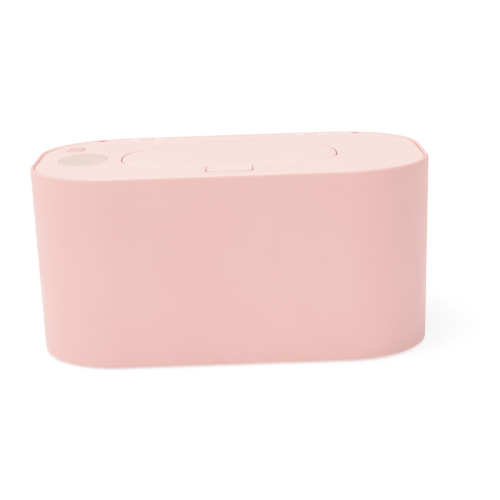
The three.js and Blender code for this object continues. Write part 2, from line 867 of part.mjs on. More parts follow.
// The deck grows ears beside the lid's knuckle, and a closed pocket under it
function lidHingeBlock() {
  const halfX = lidKnuckleLength / 2 + slideGap;
  const radius = lidKnuckleRadius;
  const back = lidHingeY + radius + slideGap + pocketWall;
  const bottom = lidHingeZ - radius - slideGap - pocketFloorThickness;
  return [
    box(-halfX - pocketWall, halfX + pocketWall, ovalRear, back, bottom, deckUnder + bite),
    bar(radius, -halfX - lidEarLength, -halfX, lidHingeY, lidHingeZ),
    bar(radius, halfX, halfX + lidEarLength, lidHingeY, lidHingeZ),
  ];
}

function lidHingeCut() {
  const halfX = lidKnuckleLength / 2 + slideGap;
  const radius = lidKnuckleRadius;
  const back = lidHingeY + radius + slideGap;
  return box(-halfX, halfX, ovalCentreY, back, lidHingeZ - radius - slideGap, farAbove);
}

const lidBoreReach = lidKnuckleLength / 2 + slideGap + lidEarLength - pinEndWall;

function lidPinBore() {
  return bar(pinRadius + seatGap, -lidBoreReach, lidBoreReach, lidHingeY, lidHingeZ);
}

function windowCut() {
  const recess = (z) => windowRing(z, seatGap);
  const through = (z) => windowRing(z, -windowLedge);
  return join(
    plate(recess, windowBottom - seatGap, farAbove),
    plate(through, deckUnder - overrun, farAbove),
  );
}

function windowRing(z, grow) {
  return ellipseRing(z, windowX, windowY, windowHalfLength + grow, windowHalfWidth + grow);
}

function keyRing(z, grow) {
  const halfX = keyLength / 2 + grow;
  const halfY = keyWidth / 2 + grow;
  const ring = roundedRing(z, halfX, -halfY, halfY, keyCorner + grow, filletSteps);
  return movedRing(ring, keyX, keyY);
}

function keyCut() {
  return plate((z) => keyRing(z, slideGap), deckUnder - overrun, farAbove);
}

// Four posts press the display board onto the lining, two of them beside the window
function clampPosts() {
  const x = windowHalfLength - windowLedge / 2;
  const y = windowHalfWidth - windowLedge;
  return corners(x, y).map((place) => {
    const bottom = displayBoardTop + seatGap;
    return rod(clampPostRadius, windowX + place[0], windowY + place[1], bottom, deckUnder + bite);
  });
}

// A place set back from the rear right corner of the body's box
function setBack([x, y]) {
  return [halfLength - x, halfDepth - y];
}

function liningScrewPlaces() {
  const [frontX, frontY] = setBack(liningFrontScrewSetbacks);
  const [backX, backY] = setBack(liningBackScrewSetbacks);
  return [[-frontX, -frontY], [frontX, -frontY], [-backX, backY], [backX, backY]];
}

function liningBosses() {
  return liningScrewPlaces().map((place) => {
    return rod(liningBossRadius, ...place, liningTop + seatGap, deckUnder + bite);
  });
}

function liningScrewBores() {
  const top = liningTop + seatGap + liningScrewLength - liningThickness;
  return liningScrewPlaces().map((place) => {
    return rod(boardScrewRadius + seatGap, ...place, liningBottom - overrun, top);
  });
}

function liningScrew(x, y) {
  const shank = seatGap + liningScrewLength - seatGap;
  const bottom = liningBottom - seatGap - boardScrewHeadHeight;
  const upright = screw(boardScrewHeadRadius, boardScrewHeadHeight, boardScrewRadius, shank);
  return upright.translate([x, y, bottom]);
}

// Cover lining: closes the cover from below, open round the dispensing collar
function coverLining() {
  const outline = (z) => bodyRing(z, liningSide, liningRear);
  const sheet = plate(outline, liningBottom, liningTop);
  const opening = plate((z) => dispenseRing(z, collarWall + seatGap), liningBottom - overrun, farAbove);
  return sheet.subtract(join(opening, liningScrewBores()));
}

function tankSeal() {
  const outer = (z, inset) => bodyRing(z, skirtSide + inset, skirtRear + inset);
  const inner = (z) => bodyRing(z, skirtSide + sealWidth, skirtRear + sealWidth);
  const ring = softLoft(outer, sealBottom, sealTop, sealThickness / 4, 0);
  return ring.subtract(plate(inner, sealBottom - overrun, sealTop + overrun));
}

function coverPin(x) {
  const reach = coverBoreReach - seatGap;
  return bar(pinRadius, x - reach, x + reach, coverHingeY, coverHingeZ);
}

function lidPin() {
  const reach = lidBoreReach - seatGap;
  return bar(pinRadius, -reach, reach, lidHingeY, lidHingeZ);
}

function displayWindow() {
  return softLoft((z, inset) => windowRing(z, -inset), windowBottom, windowTop, 0, windowFillet);
}

// The display board fills the left end of the cover and follows the skirt round the corner
function displayBoard() {
  const outline = (z) => bodyRing(z, liningSide + seatGap, liningRear + seatGap);
  const right = -ovalHalfLength - lidGap - wellWall - displayBoardThickness;
  const end = displayBoardEndMargin - halfLength;
  const front = windowFront - displayBoardFrontMargin;
  const back = keyY + keyWidth / 2 + displayBoardBackMargin;
  const blank = box(end, right, front, back, displayBoardBottom, displayBoardTop);
  return blank.intersect(plate(outline, liningTop, deckUnder));
}

function digitModule() {
  const x = (windowHalfLength - windowLedge) * digitsShares[0];
  const y = (windowHalfWidth - windowLedge) * digitsShares[1];
  const block = box(-x, x, -y, y, displayPartsBottom, windowBottom - seatGap);
  return block.translate([windowX, windowY, 0]);
}
const digitsShares = [0.67, 0.54];

function tactSwitch() {
  const half = switchSide / 2;
  const top = displayPartsBottom + switchHeight;
  const base = box(-half, half, -half, half, displayPartsBottom, top);
  const plunger = rod(plungerRadius, 0, 0, top - switchHeight / 2, top + plungerHeight);
  return join(base, plunger).translate([keyX, keyY, 0]);
}

// Power key: a cap through the deck on a flange that holds it in
function powerKey() {
  const flangeTopZ = deckUnder - seatGap;
  const shrunk = (z, inset) => keyRing(z, -inset);
  const cap = softLoft(shrunk, flangeTopZ - keyFlangeThickness / 2, deckTop + keyProud, 0, keyFillet);
  return join(cap, plate((z) => keyRing(z, keyFlange), flangeTopZ - keyFlangeThickness, flangeTopZ));
}

// Flip lid: a crowned oval plate with a knuckle behind it and a catch under its front edge
function flipLid() {
  const rings = [ovalRing(lidUnder, 0)];
  for (let step = 0; step <= filletSteps; step += 1) {
    const angle = (step / filletSteps) * Math.PI / 2;
    const inset = lidFillet * (1 - Math.cos(angle));
    rings.push(ovalRing(deckTop - lidFillet * (1 - Math.sin(angle)), -inset));
  }
  for (const share of crownShares) {
    rings.push(ovalRing(deckTop + lidCrown * (1 - share * share), -lidFillet, share));
  }
  const tongue = lidKnuckleLength / 2;
  const hinge = join(
    box(-tongue, tongue, ovalCentreY + ovalRearReach * tongueStartShare, lidHingeY, lidUnder, deckTop),
    bar(lidKnuckleRadius, -tongue, tongue, lidHingeY, lidHingeZ),
  );
  const bore = bar(pinRadius + seatGap, -tongue - overrun, tongue + overrun, lidHingeY, lidHingeZ);
  return join(loft(rings), hinge, lidCatch()).subtract(bore);
}
const crownShares = [0.85, 0.6, 0.3];
const tongueStartShare = 0.9;

// The catch ends in a nose that a nose on the latch button holds down
function lidCatch() {
  const half = catchWidth / 2;
  const front = ovalFront + lidGap + seatGap;
  const bottom = lidUnder - catchDepth;
  return join(
    box(-half, half, front, front + catchThickness, bottom, lidUnder + bite),
    box(-half, half, front - noseReach, front + bite, bottom, bottom + noseHeight),
  );
}

function lidGasket() {
  const outer = (z, inset) => dispenseRing(z, gasketClear + gasketWidth - inset);
  const inner = (z) => dispenseRing(z, gasketClear);
  const ring = softLoft(outer, gasketBottom, gasketTop, gasketThickness / 4, 0);
  return ring.subtract(plate(inner, gasketBottom - overrun, gasketTop + overrun));
}

// Latch button: a hollow cap with a finger dip, side lugs that hold it in and a nose for the lid
function latchButton() {
  const halfX = buttonLength / 2;
  const ring = (z, inset) => {
    const round = Math.max(buttonCorner - inset, buttonCorner / 2);
    return roundedRing(z, halfX - inset, buttonFront + inset, buttonRear - inset, round, filletSteps);
  };
  const block = plate((z) => ring(z, 0), buttonBottom, farAbove);
  const cap = block.intersect(buttonTopProfile());
  const hollow = plate((z) => ring(z, buttonSkin), buttonBottom - overrun, buttonCeiling);
  const lugReach = halfX + buttonLug;
  const lugFront = buttonY - buttonWidth / 4;
  const lugBack = buttonY + buttonWidth / 4;
  const lugs = [-1, 1].map((side) => {
    const ends = [side * (halfX - buttonSkin / 2), side * lugReach].sort((a, b) => a - b);
    return box(...ends, lugFront, lugBack, buttonBottom, buttonBottom + buttonLugHeight);
  });
  const noseTop = deckUnder - seatGap;
  const noseHalf = catchWidth / 2;
  const nose = box(-noseHalf, noseHalf, buttonRear - bite, noseTipY, noseTop - noseHeight, noseTop);
  return join(cap.subtract(hollow), lugs, nose);
}
const noseTipY = ovalFront + lidGap - noseReach;

// The button's side view as a solid: level at the back, a dip, and a lip at the front edge
function buttonTopProfile() {
  const outline = [new THREE.Vector2(buttonRear, farBelow)];
  for (const [place, rise] of buttonDipShares) {
    const y = buttonRear + (buttonFront - buttonRear) * place;
    const z = deckTop + (rise > 0 ? rise * buttonLipRise : rise * buttonDip);
    outline.push(new THREE.Vector2(y, z));
  }
  outline.push(new THREE.Vector2(buttonFront, farBelow));
  const shape = new THREE.Shape(outline);
  const geometry = new THREE.ExtrudeGeometry(shape, { depth: buttonLength, bevelEnabled: false });
  const turnedSolid = solidOf(geometry).rotate([90, 0, 90]);
  return turnedSolid.translate([-buttonLength / 2, 0, 0]);
}
const buttonDipShares = [
  [0, -0.3],
  [0.04, 0],
  [0.2, -0.25],
  [0.4, -0.8],
  [0.55, -1],
  [0.7, -0.7],
  [0.82, 0],
  [0.9, 0.8],
  [0.96, 1],
  [1, 0.5],
];

// Latch spring: an open helix whose two ends run straight for one wire diameter
function springPoint(turn) {
  const clamped = Math.min(Math.max(turn, 0), coilTurns);
  const angle = clamped * 2 * Math.PI;
  const z = springBottom + wireRadius + clamped * coilPitch;
  const past = (turn - clamped) * 2 * Math.PI * coilRadius;
  return new THREE.Vector3(
    coilRadius * Math.cos(angle) - past * Math.sin(angle),
    buttonY + coilRadius * Math.sin(angle) + past * Math.cos(angle),
    z,
  );
}

function latchSpring() {
  const endTurn = wireRadius * 2 / (2 * Math.PI * coilRadius);
  const turns = [-endTurn];
  for (let step = 0; step <= coilTurns * curlSteps; step += 1) turns.push(step / curlSteps);
  turns.push(coilTurns + endTurn);
  const centres = turns.map((turn) => springPoint(turn));
  console.log('latch_spring least gap to itself, mm:', leastGap(centres).toFixed(3));
  return wireAlong(centres);
}

// The least clear gap between stretches of the wire that are a half turn or more apart
function leastGap(centres) {
  let least = Infinity;
  for (let i = 0; i < centres.length; i += 1) {
    for (let j = i + curlSteps / 2; j < centres.length; j += 1) {
      least = Math.min(least, centres[i].distanceTo(centres[j]) - 2 * wireRadius);
    }
  }
  return least;
}

// A wire of round section through a list of points, upright rings across the run
function wireAlong(centres) {
  const positions = [];
  const up = new THREE.Vector3(0, 0, 1);
  centres.forEach((centre, i) => {
    const ahead = centres[Math.min(i + 1, centres.length - 1)];
    const behind = centres[Math.max(i - 1, 0)];
    const run = ahead.clone().sub(behind).normalize();
    const side = run.clone().cross(up).normalize();
    const top = side.clone().cross(run).normalize();
    for (let step = 0; step < wireSteps; step += 1) {
      const angle = (step / wireSteps) * 2 * Math.PI;
      const point = centre.clone();
      point.addScaledVector(side, wireRadius * Math.cos(angle));
      point.addScaledVector(top, wireRadius * Math.sin(angle));
      positions.push(point.x, point.y, point.z);
    }
  });
  const last = (centres.length - 1) * wireSteps;
  const index = [];
  for (let ring = 0; ring < centres.length - 1; ring += 1) {
    for (let step = 0; step < wireSteps; step += 1) {
      const next = (step + 1) % wireSteps;
      const low = ring * wireSteps;
      const high = low + wireSteps;
      index.push(low + step, low + next, high + next);
      index.push(low + step, high + next, high + step);
    }
  }
  for (let step = 1; step < wireSteps - 1; step += 1) {
    index.push(0, step + 1, step);
    index.push(last, last + step, last + step + 1);
  }
  const geometry = new THREE.BufferGeometry();
  geometry.setAttribute('position', new THREE.Float32BufferAttribute(positions, 3));
  geometry.setIndex(index);
  const made = solidOf(geometry);
  return made.volume() < 0 ? solidOf(flipped(geometry)) : made;
}

function flipped(geometry) {
  const turnedRound = geometry.clone();
  turnedRound.setIndex(Array.from(geometry.index.array).reverse());
  return turnedRound;
}

// Finishes, with colours read from the photograph
function finish(color, roughness, metalness = 0) {
  return new THREE.MeshStandardMaterial({ color, roughness, metalness });
}
const pinkShell = () => finish(0xf1c4be, 0.62);
const pinkDeck = () => finish(0xf6dad5, 0.6);
const deepPink = () => finish(0xefc9c4, 0.55);
const windowGrey = () => finish(0xe6d8d2, 0.35);
const whitePlastic = () => finish(0xf2efec, 0.55);
const silicone = () => finish(0xe9e4e0, 0.8);
const darkRubber = () => finish(0x4a4746, 0.9);
const steel = () => finish(0xc2c4c6, 0.35, 1);
const boardGreen = () => finish(0x2f6b4a, 0.6);
const blackPlastic = () => finish(0x232326, 0.5);
const foam = () => finish(0xdedbd3, 0.95);
const heaterFoil = () => finish(0xc98a4e, 0.6);
const redWire = () => finish(0xb3322c, 0.5);

const group = new THREE.Group();

// Turns a solid into a named mesh of the group
function place(name, solid, material, parent = group) {
  const mesh = solid.simplify(weldLimit).getMesh();
  const geometry = new THREE.BufferGeometry();
  geometry.setAttribute('position', new THREE.BufferAttribute(mesh.vertProperties.slice(), 3));
  geometry.setIndex(new THREE.BufferAttribute(mesh.triVerts.slice(), 1));
  const creased = toCreasedNormals(geometry, Math.PI / 6);
  const node = new THREE.Mesh(creased, material);
  node.name = name;
  parent.add(node);
  return node;
}
const weldLimit = 0.002;

const housing = new THREE.Group();
place('outer_shell', outerShell(), pinkShell(), housing);
place('base_plate', basePlate(), pinkShell(), housing);
corners(footX, footY).forEach(([x, y], i) => {
  place(`foot_${i + 1}`, foot(x, y), darkRubber(), housing);
});
corners(bossX, bossY).forEach(([x, y], i) => {
  place(`base_screw_${i + 1}`, baseScrew(x, y), steel(), housing);
});
place('inner_tank', innerTank(), whitePlastic(), housing);
place('heater_pad', heaterPad(), heaterFoil(), housing);
place('insulation_pad', insulationPad(), foam(), housing);
place('thermal_fuse', thermalFuse(), steel(), housing);
place('thermistor', thermistor(), blackPlastic(), housing);
place('control_board', controlBoard(), boardGreen(), housing);
boardHoles().forEach(([x, y], i) => {
  place(`board_screw_${i + 1}`, boardScrew(x, y), steel(), housing);
});
place('control_chip', controlChip(), blackPlastic(), housing);
place('capacitor', capacitor(), steel(), housing);
place('lead_connector', leadConnector(), whitePlastic(), housing);
place('heater_lead_left', heaterLead(-1), redWire(), housing);
place('heater_lead_right', heaterLead(1), blackPlastic(), housing);
place('power_socket', powerSocket(), steel(), housing);
place('cover_pin_left', coverPin(-earX), steel(), housing);
place('cover_pin_right', coverPin(earX), steel(), housing);

const cover = new THREE.Group();
place('top_cover', topCover(), pinkDeck(), cover);
place('cover_lining', coverLining(), whitePlastic(), cover);
liningScrewPlaces().forEach(([x, y], i) => {
  place(`lining_screw_${i + 1}`, liningScrew(x, y), steel(), cover);
});
place('tank_seal', tankSeal(), silicone(), cover);
place('display_window', displayWindow(), windowGrey(), cover);
place('display_board', displayBoard(), boardGreen(), cover);
place('digit_module', digitModule(), blackPlastic(), cover);
place('tact_switch', tactSwitch(), blackPlastic(), cover);
place('lid_pin', lidPin(), steel(), cover);
place('power_key', powerKey(), deepPink(), cover);

const lid = new THREE.Group();
place('flip_lid', flipLid(), pinkDeck(), lid);
place('lid_gasket', lidGasket(), silicone(), lid);

const latch = new THREE.Group();
place('latch_button', latchButton(), pinkDeck(), latch);
place('latch_spring', latchSpring(), steel(), latch);

group.add(housing, cover, lid, latch);

export default group;
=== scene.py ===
"""Looks of the baby wipe warmer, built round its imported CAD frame.

Every piece is in metres and in the frame's own axes: +X to the right, +Y to the back, +Z up.
"""

import json
import logging
import math
from collections.abc import Callable, Sequence
from dataclasses import dataclass, field
from enum import Enum

import bmesh
import bpy
from mathutils import Color, Matrix, Vector
from mathutils.geometry import convex_hull_2d


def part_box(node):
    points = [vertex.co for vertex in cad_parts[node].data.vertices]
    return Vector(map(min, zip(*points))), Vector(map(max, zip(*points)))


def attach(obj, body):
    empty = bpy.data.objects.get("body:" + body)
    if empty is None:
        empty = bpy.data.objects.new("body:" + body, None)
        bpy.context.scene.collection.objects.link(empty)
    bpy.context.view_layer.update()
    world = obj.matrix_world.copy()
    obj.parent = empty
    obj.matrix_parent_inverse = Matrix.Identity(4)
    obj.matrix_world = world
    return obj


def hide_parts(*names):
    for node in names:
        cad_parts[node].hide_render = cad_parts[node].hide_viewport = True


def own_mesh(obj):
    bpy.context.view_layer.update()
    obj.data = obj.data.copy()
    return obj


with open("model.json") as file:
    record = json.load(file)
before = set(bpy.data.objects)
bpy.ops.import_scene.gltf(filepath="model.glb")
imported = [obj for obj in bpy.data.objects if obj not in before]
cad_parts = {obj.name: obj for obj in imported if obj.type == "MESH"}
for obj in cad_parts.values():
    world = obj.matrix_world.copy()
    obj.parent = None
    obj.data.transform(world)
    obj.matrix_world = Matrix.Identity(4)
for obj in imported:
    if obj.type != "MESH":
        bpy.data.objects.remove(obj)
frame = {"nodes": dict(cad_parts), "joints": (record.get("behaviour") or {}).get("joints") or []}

LOG = logging.getLogger("wipe_warmer")

MM = 0.001
SEAT_GAP = 0.3 * MM
SLIDE_GAP = 0.4 * MM
OVERRUN = 1 * MM
BITE = 0.6 * MM
WELD = 0.002 * MM
SLIVER = 0.001 * MM
FILLET_STEPS = 6
ROD_STEPS = 40
SHARP_EDGE = math.radians(32)
SCREEN_WHITE = 255

Object = bpy.types.Object
Material = bpy.types.Material
Socket = bpy.types.NodeSocket
Pair = tuple[float, float]
Point = Pair
Triple = tuple[float, float, float]
Colour = Triple


class Body(Enum):
    """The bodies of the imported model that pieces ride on."""

    HOUSING = "housing"
    COVER = "cover"
    LID = "lid"
    LATCH = "latch"
    KEY = "key"


class Op(Enum):
    """How one solid acts on another."""

    JOIN = "UNION"
    CUT = "DIFFERENCE"
    KEEP = "INTERSECT"


def linear(colour: Colour) -> tuple[float, float, float, float]:
    """Turns a screen colour of 0 to 255 into the shader's linear values.

    Args:
        colour: Red, green and blue as a screen shows them.

    Returns:
        Linear red, green and blue, and full opacity.
    """
    shown = Color([channel / SCREEN_WHITE for channel in colour])
    return (*shown.from_srgb_to_scene_linear(), 1.0)


# Outlines


@dataclass(frozen=True)
class Ring:
    """A closed level outline, anticlockwise seen from above."""

    z: float
    points: tuple[Point, ...]

    def moved(self, x: float, y: float) -> "Ring":
        """Returns the ring shifted in plan."""
        return Ring(self.z, tuple((px + x, py + y) for px, py in self.points))

    def loop(self) -> list[Vector]:
        """Returns the ring's points in space."""
        return [Vector((x, y, self.z)) for x, y in self.points]


RingAt = Callable[[float, float], Ring]
ScaledRingAt = Callable[[float, float, float], Ring]


def rounded_ring(z: float, half_x: float, front: float, back: float, radius: float, steps: int) -> Ring:
    """Draws a rounded rectangle from -half_x to +half_x.

    Args:
        z: Height of the ring.
        half_x: Half its width.
        front: Its lowest y.
        back: Its highest y.
        radius: Radius of its corners.
        steps: Straight runs in each corner.

    Returns:
        The ring.
    """
    points = []
    corners = ((half_x, back), (-half_x, back), (-half_x, front), (half_x, front))
    for quarter, (x, y) in enumerate(corners):
        centre_x = x - math.copysign(radius, x)
        centre_y = back - radius if y == back else front + radius
        for step in range(steps + 1):
            angle = (quarter + step / steps) * math.pi / 2
            points.append((centre_x + radius * math.cos(angle), centre_y + radius * math.sin(angle)))
    return Ring(z, tuple(points))


def ellipse_ring(z: float, x: float, y: float, half_x: float, half_y: float, steps: int = 96) -> Ring:
    """Draws an ellipse round a place in plan, in the given number of steps."""
    angles = [2 * math.pi * step / steps for step in range(steps)]
    return Ring(z, tuple((x + half_x * math.cos(a), y + half_y * math.sin(a)) for a in angles))


def rounding(radius: float) -> list[Pair]:
    """Gives the steps of a rounded edge, as how far in and how far below its top each lies."""
    angles = [math.pi / 2 * step / FILLET_STEPS for step in range(FILLET_STEPS + 1)]
    return [(radius * (1 - math.cos(a)), radius * (1 - math.sin(a))) for a in angles]


def domed(
    ring_at: ScaledRingAt, top: float, grow: float, edge: float, crown: float, steps: int
) -> list[Ring]:
    """Draws a rounded edge with a low dome inside it.

    Args:
        ring_at: Gives the outline at a height, grown outwards, at a share of its size.
        top: Height of the edge.
        grow: How far the outline is grown at the edge's foot.
        edge: Radius of the edge.
        crown: How far the dome rises over the edge.
        steps: Rings in the dome.

    Returns:
        The rings, from the edge's foot to the middle of the dome.
    """
    rim = [ring_at(top - drop, grow - inset, 1.0) for inset, drop in rounding(edge)]
    shares = [1 - step / steps for step in range(1, steps)]
    return rim + [ring_at(top + crown * (1 - share * share), grow - edge, share) for share in shares]


@dataclass(frozen=True)
class BodyOutline:
    """The box's plan outline, which leans in towards the table.

    Its reach and its levels come from the frame's outer shell.
    """

    low: Vector
    high: Vector
    lean: float = 2 * MM
    corner_radius: float = 44 * MM
    corner_steps: int = 28

    def drawn(self, z: float, inset: float) -> float:
        """Returns how far the outline is drawn in at a height."""
        return inset + self.lean * (self.high.z - z) / (self.high.z - self.low.z)

    def ring(self, z: float, inset: float, rear: float | None = None) -> Ring:
        """Draws the outline at a height.

        Args:
            z: Height of the ring.
            inset: How far it is drawn in from the outside.
            rear: The inset at the back, where that differs.

        Returns:
            The ring.
        """
        drawn = self.drawn(z, inset)
        drawn_rear = drawn if rear is None else self.drawn(z, rear)
        radius = self.corner_radius - drawn
        back = self.high.y - drawn_rear
        return rounded_ring(z, self.high.x - drawn, self.low.y + drawn, back, radius, self.corner_steps)

    def inside(self, inset: float, rear: float | None = None) -> RingAt:
        """Gives the outline at a fixed inset, with another at the rear where that is given."""
        return lambda z, more: self.ring(z, inset + more, None if rear is None else rear + more)


@dataclass(frozen=True)
class LidOval:
    """The flip lid's outline: two half superellipses, blunter at the front."""

    half_length: float
    front: float
    rear: float
    blunt_shift: float = 3.75 * MM
    front_power: float = 3
    rear_power: float = 2.3
    steps: int = 240

    @property
    def centre_y(self) -> float:
        """Returns where the two halves meet."""
        return (self.front + self.rear) / 2 - self.blunt_shift

    def ring(self, z: float, grow: float, scale: float = 1.0) -> Ring:
        """Draws the oval at a height.

        Args:
            z: Height of the ring.
            grow: How far it is grown outwards.
            scale: Its share of the full size.

        Returns:
            The ring.
        """
        points = []
        for step in range(self.steps):
            angle = 2 * math.pi * step / self.steps
            cos, sin = math.cos(angle), math.sin(angle)
            power = self.front_power if sin < 0 else self.rear_power
            reach = self.centre_y - self.front if sin < 0 else self.rear - self.centre_y
            x = math.copysign(abs(cos) ** (2 / power), cos) * (self.half_length + grow)
            y = math.copysign(abs(sin) ** (2 / power), sin) * (reach + grow)
            points.append((x * scale, self.centre_y + y * scale))
        return Ring(z, tuple(points))


# Solids


class Solid:
    """A closed mesh that others are joined to or cut from."""

    def __init__(self, vertices: Sequence[Sequence[float]], faces: Sequence[Sequence[int]]) -> None:
        """Makes the solid's mesh, with its faces turned outwards.

        Args:
            vertices: Its points.
            faces: The points of each face.
        """
        mesh = bpy.data.meshes.new("solid")
        mesh.from_pydata([tuple(vertex) for vertex in vertices], [], [tuple(face) for face in faces])
        turn_outwards(mesh)
        self.object = bpy.data.objects.new("solid", mesh)
        bpy.context.scene.collection.objects.link(self.object)

    @classmethod
    def around(cls, piece: Object) -> "Solid":
        """Wraps an object that holds a closed mesh.

        Args:
            piece: The object.

        Returns:
            The solid.
        """
        made = cls.__new__(cls)
        made.object = piece
        turn_outwards(piece.data)
        return made

    def combine(self, operation: Op, *others: "Solid") -> "Solid":
        """Joins, cuts or trims this solid with others, which are used up.

        Args:
            operation: What is done.
            others: The solids that it is done with.

        Returns:
            This solid.
        """
        for other in others:
            modifier = self.object.modifiers.new(operation.name, "BOOLEAN")
            modifier.operation = operation.value
            modifier.solver = "MANIFOLD"
            modifier.object = other.object
        bake_modifiers(self.object)
        for other in others:
            bpy.data.objects.remove(other.object)
        return self

    def join(self, *others: "Solid") -> "Solid":
        """Returns this solid with the others joined to it."""
        return self.combine(Op.JOIN, *others)

    def cut(self, *others: "Solid") -> "Solid":
        """Returns this solid with the others cut out of it."""
        return self.combine(Op.CUT, *others)

    def transformed(self, matrix: Matrix) -> "Solid":
        """Returns this solid with its points moved by a matrix."""
        self.object.data.transform(matrix)
        return self

    def moved(self, x: float, y: float, z: float) -> "Solid":
        """Returns this solid shifted."""
        return self.transformed(Matrix.Translation((x, y, z)))

    def turned(self, degrees: float, axis: str) -> "Solid":
        """Returns this solid turned about an axis through the origin."""
        return self.transformed(Matrix.Rotation(math.radians(degrees), 4, axis))

    def piece(self, name: str) -> Object:
        """Ends the work on the solid: welds it, and shades its soft edges smooth.

        Args:
            name: The piece's name.

        Returns:
            The finished object.
        """
        mesh = self.object.data
        work = bmesh.new()
        work.from_mesh(mesh)
        bmesh.ops.remove_doubles(work, verts=work.verts, dist=WELD)
        bmesh.ops.dissolve_degenerate(work, edges=work.edges, dist=SLIVER)
        work.to_mesh(mesh)
        work.free()
        mesh.polygons.foreach_set("use_smooth", [True] * len(mesh.polygons))
        mesh.set_sharp_from_angle(angle=SHARP_EDGE)
        weighted = self.object.modifiers.new("weighted", "WEIGHTED_NORMAL")
        weighted.keep_sharp = True
        bake_modifiers(self.object)
        self.object.name = name
        self.object.data.name = name
        return self.object


def turn_outwards(mesh: bpy.types.Mesh) -> None:
    """Turns the faces of a closed mesh outwards.

    Args:
        mesh: The mesh.
    """
    work = bmesh.new()
    work.from_mesh(mesh)
    bmesh.ops.recalc_face_normals(work, faces=work.faces)
    work.to_mesh(mesh)
    work.free()


def bake_modifiers(piece: Object) -> Object:
    """Turns what an object's modifiers make into its plain mesh, and removes them.

    Args:
        piece: The object.

    Returns:
        The same object.
    """
    graph = bpy.context.evaluated_depsgraph_get()
    mesh = bpy.data.meshes.new_from_object(piece.evaluated_get(graph))
    old = piece.data
    piece.modifiers.clear()
    piece.data = mesh
    bpy.data.meshes.remove(old)
    return piece


def skin(loops: Sequence[Sequence[Vector]], joined: bool = False) -> Solid:
    """Skins a stack of loops with equal point counts.

    Args:
        loops: The loops.
        joined: Whether the last loop joins the first, as round a ring. If not, both ends are closed.

    Returns:
        The solid.
    """
    count, total = len(loops[0]), len(loops) * len(loops[0])
    vertices = [point for loop in loops for point in loop]
    faces = [] if joined else [range(count), range(total - count, total)]
    for low in range(0, total if joined else total - count, count):
        high = (low + count) % total
        for i in range(count):
            j = (i + 1) % count
            faces.append((low + i, low + j, high + j, high + i))
    return Solid(vertices, faces)


def loft(rings: Sequence[Ring]) -> Solid:
    """Skins a stack of level rings."""
    return skin([ring.loop() for ring in rings])


def soft_loft(ring_at: RingAt, z0: float, z1: float, lower: float, upper: float) -> Solid:
    """Lofts one outline between two heights, with rounded edges.

    Args:
        ring_at: Gives the outline at a height, drawn in by an inset.
        z0: The lower height.
        z1: The upper height.
        lower: Radius of the lower edge, or 0 for a sharp one.
        upper: Radius of the upper edge. A negative one flares outwards, as a cutter's rim does.

    Returns:
        The solid.
    """
    feet = rounding(lower) if lower else [(0.0, 0.0)]
    tops = rounding(upper) if upper else [(0.0, 0.0)]
    rings = [ring_at(z0 + abs(rise), inset) for rise, inset in feet]
    rings += [ring_at(z1 - abs(drop), inset) for inset, drop in tops]
    if upper < 0:
        rings.append(ring_at(z1 + OVERRUN, upper))
    return loft(rings)


def prism(outline: Sequence[Vector], run: Vector) -> Solid:
    """Runs a closed flat outline along a straight way."""
    return skin([outline, [point + run for point in outline]])


def box(x0: float, x1: float, y0: float, y1: float, z0: float, z1: float) -> Solid:
    """Makes a block from its lowest and highest x, y and z."""
    outline = [Vector((x0, y0, z0)), Vector((x1, y0, z0)), Vector((x1, y1, z0)), Vector((x0, y1, z0))]
    return prism(outline, Vector((0, 0, z1 - z0)))


def lathe(profile: Sequence[Point], steps: int = ROD_STEPS) -> Solid:
    """Turns a profile of radius and height about Z, with a flat face at each end."""
    return loft([ellipse_ring(z, 0, 0, radius, radius, steps) for radius, z in profile])


def rod(radius: float, x: float, y: float, z0: float, z1: float) -> Solid:
    """Makes an upright rod."""
    return lathe([(radius, z0), (radius, z1)]).moved(x, y, 0)


def bar(radius: float, x0: float, x1: float, y: float, z: float, soft: float = 0.0) -> Solid:
    """Makes a rod along X.

    Args:
        radius: Its radius.
        x0: Its left end.
        x1: Its right end.
        y: How far back its axis lies.
        z: How high its axis lies.
        soft: How far the edges of its ends are cut back.

    Returns:
        The rod.
    """
    profile = [(radius, x0), (radius, x1)]
    if soft:
        profile = [(radius - soft, x0), (radius, x0 + soft), (radius, x1 - soft), (radius - soft, x1)]
    return lathe(profile).turned(90, "Y").moved(0, y, z)


def four_places(x: float, y: float) -> list[Point]:
    """Returns the four corners of a rectangle about the middle."""
    return [(-x, -y), (x, -y), (-x, y), (x, y)]


# Geometry node trees


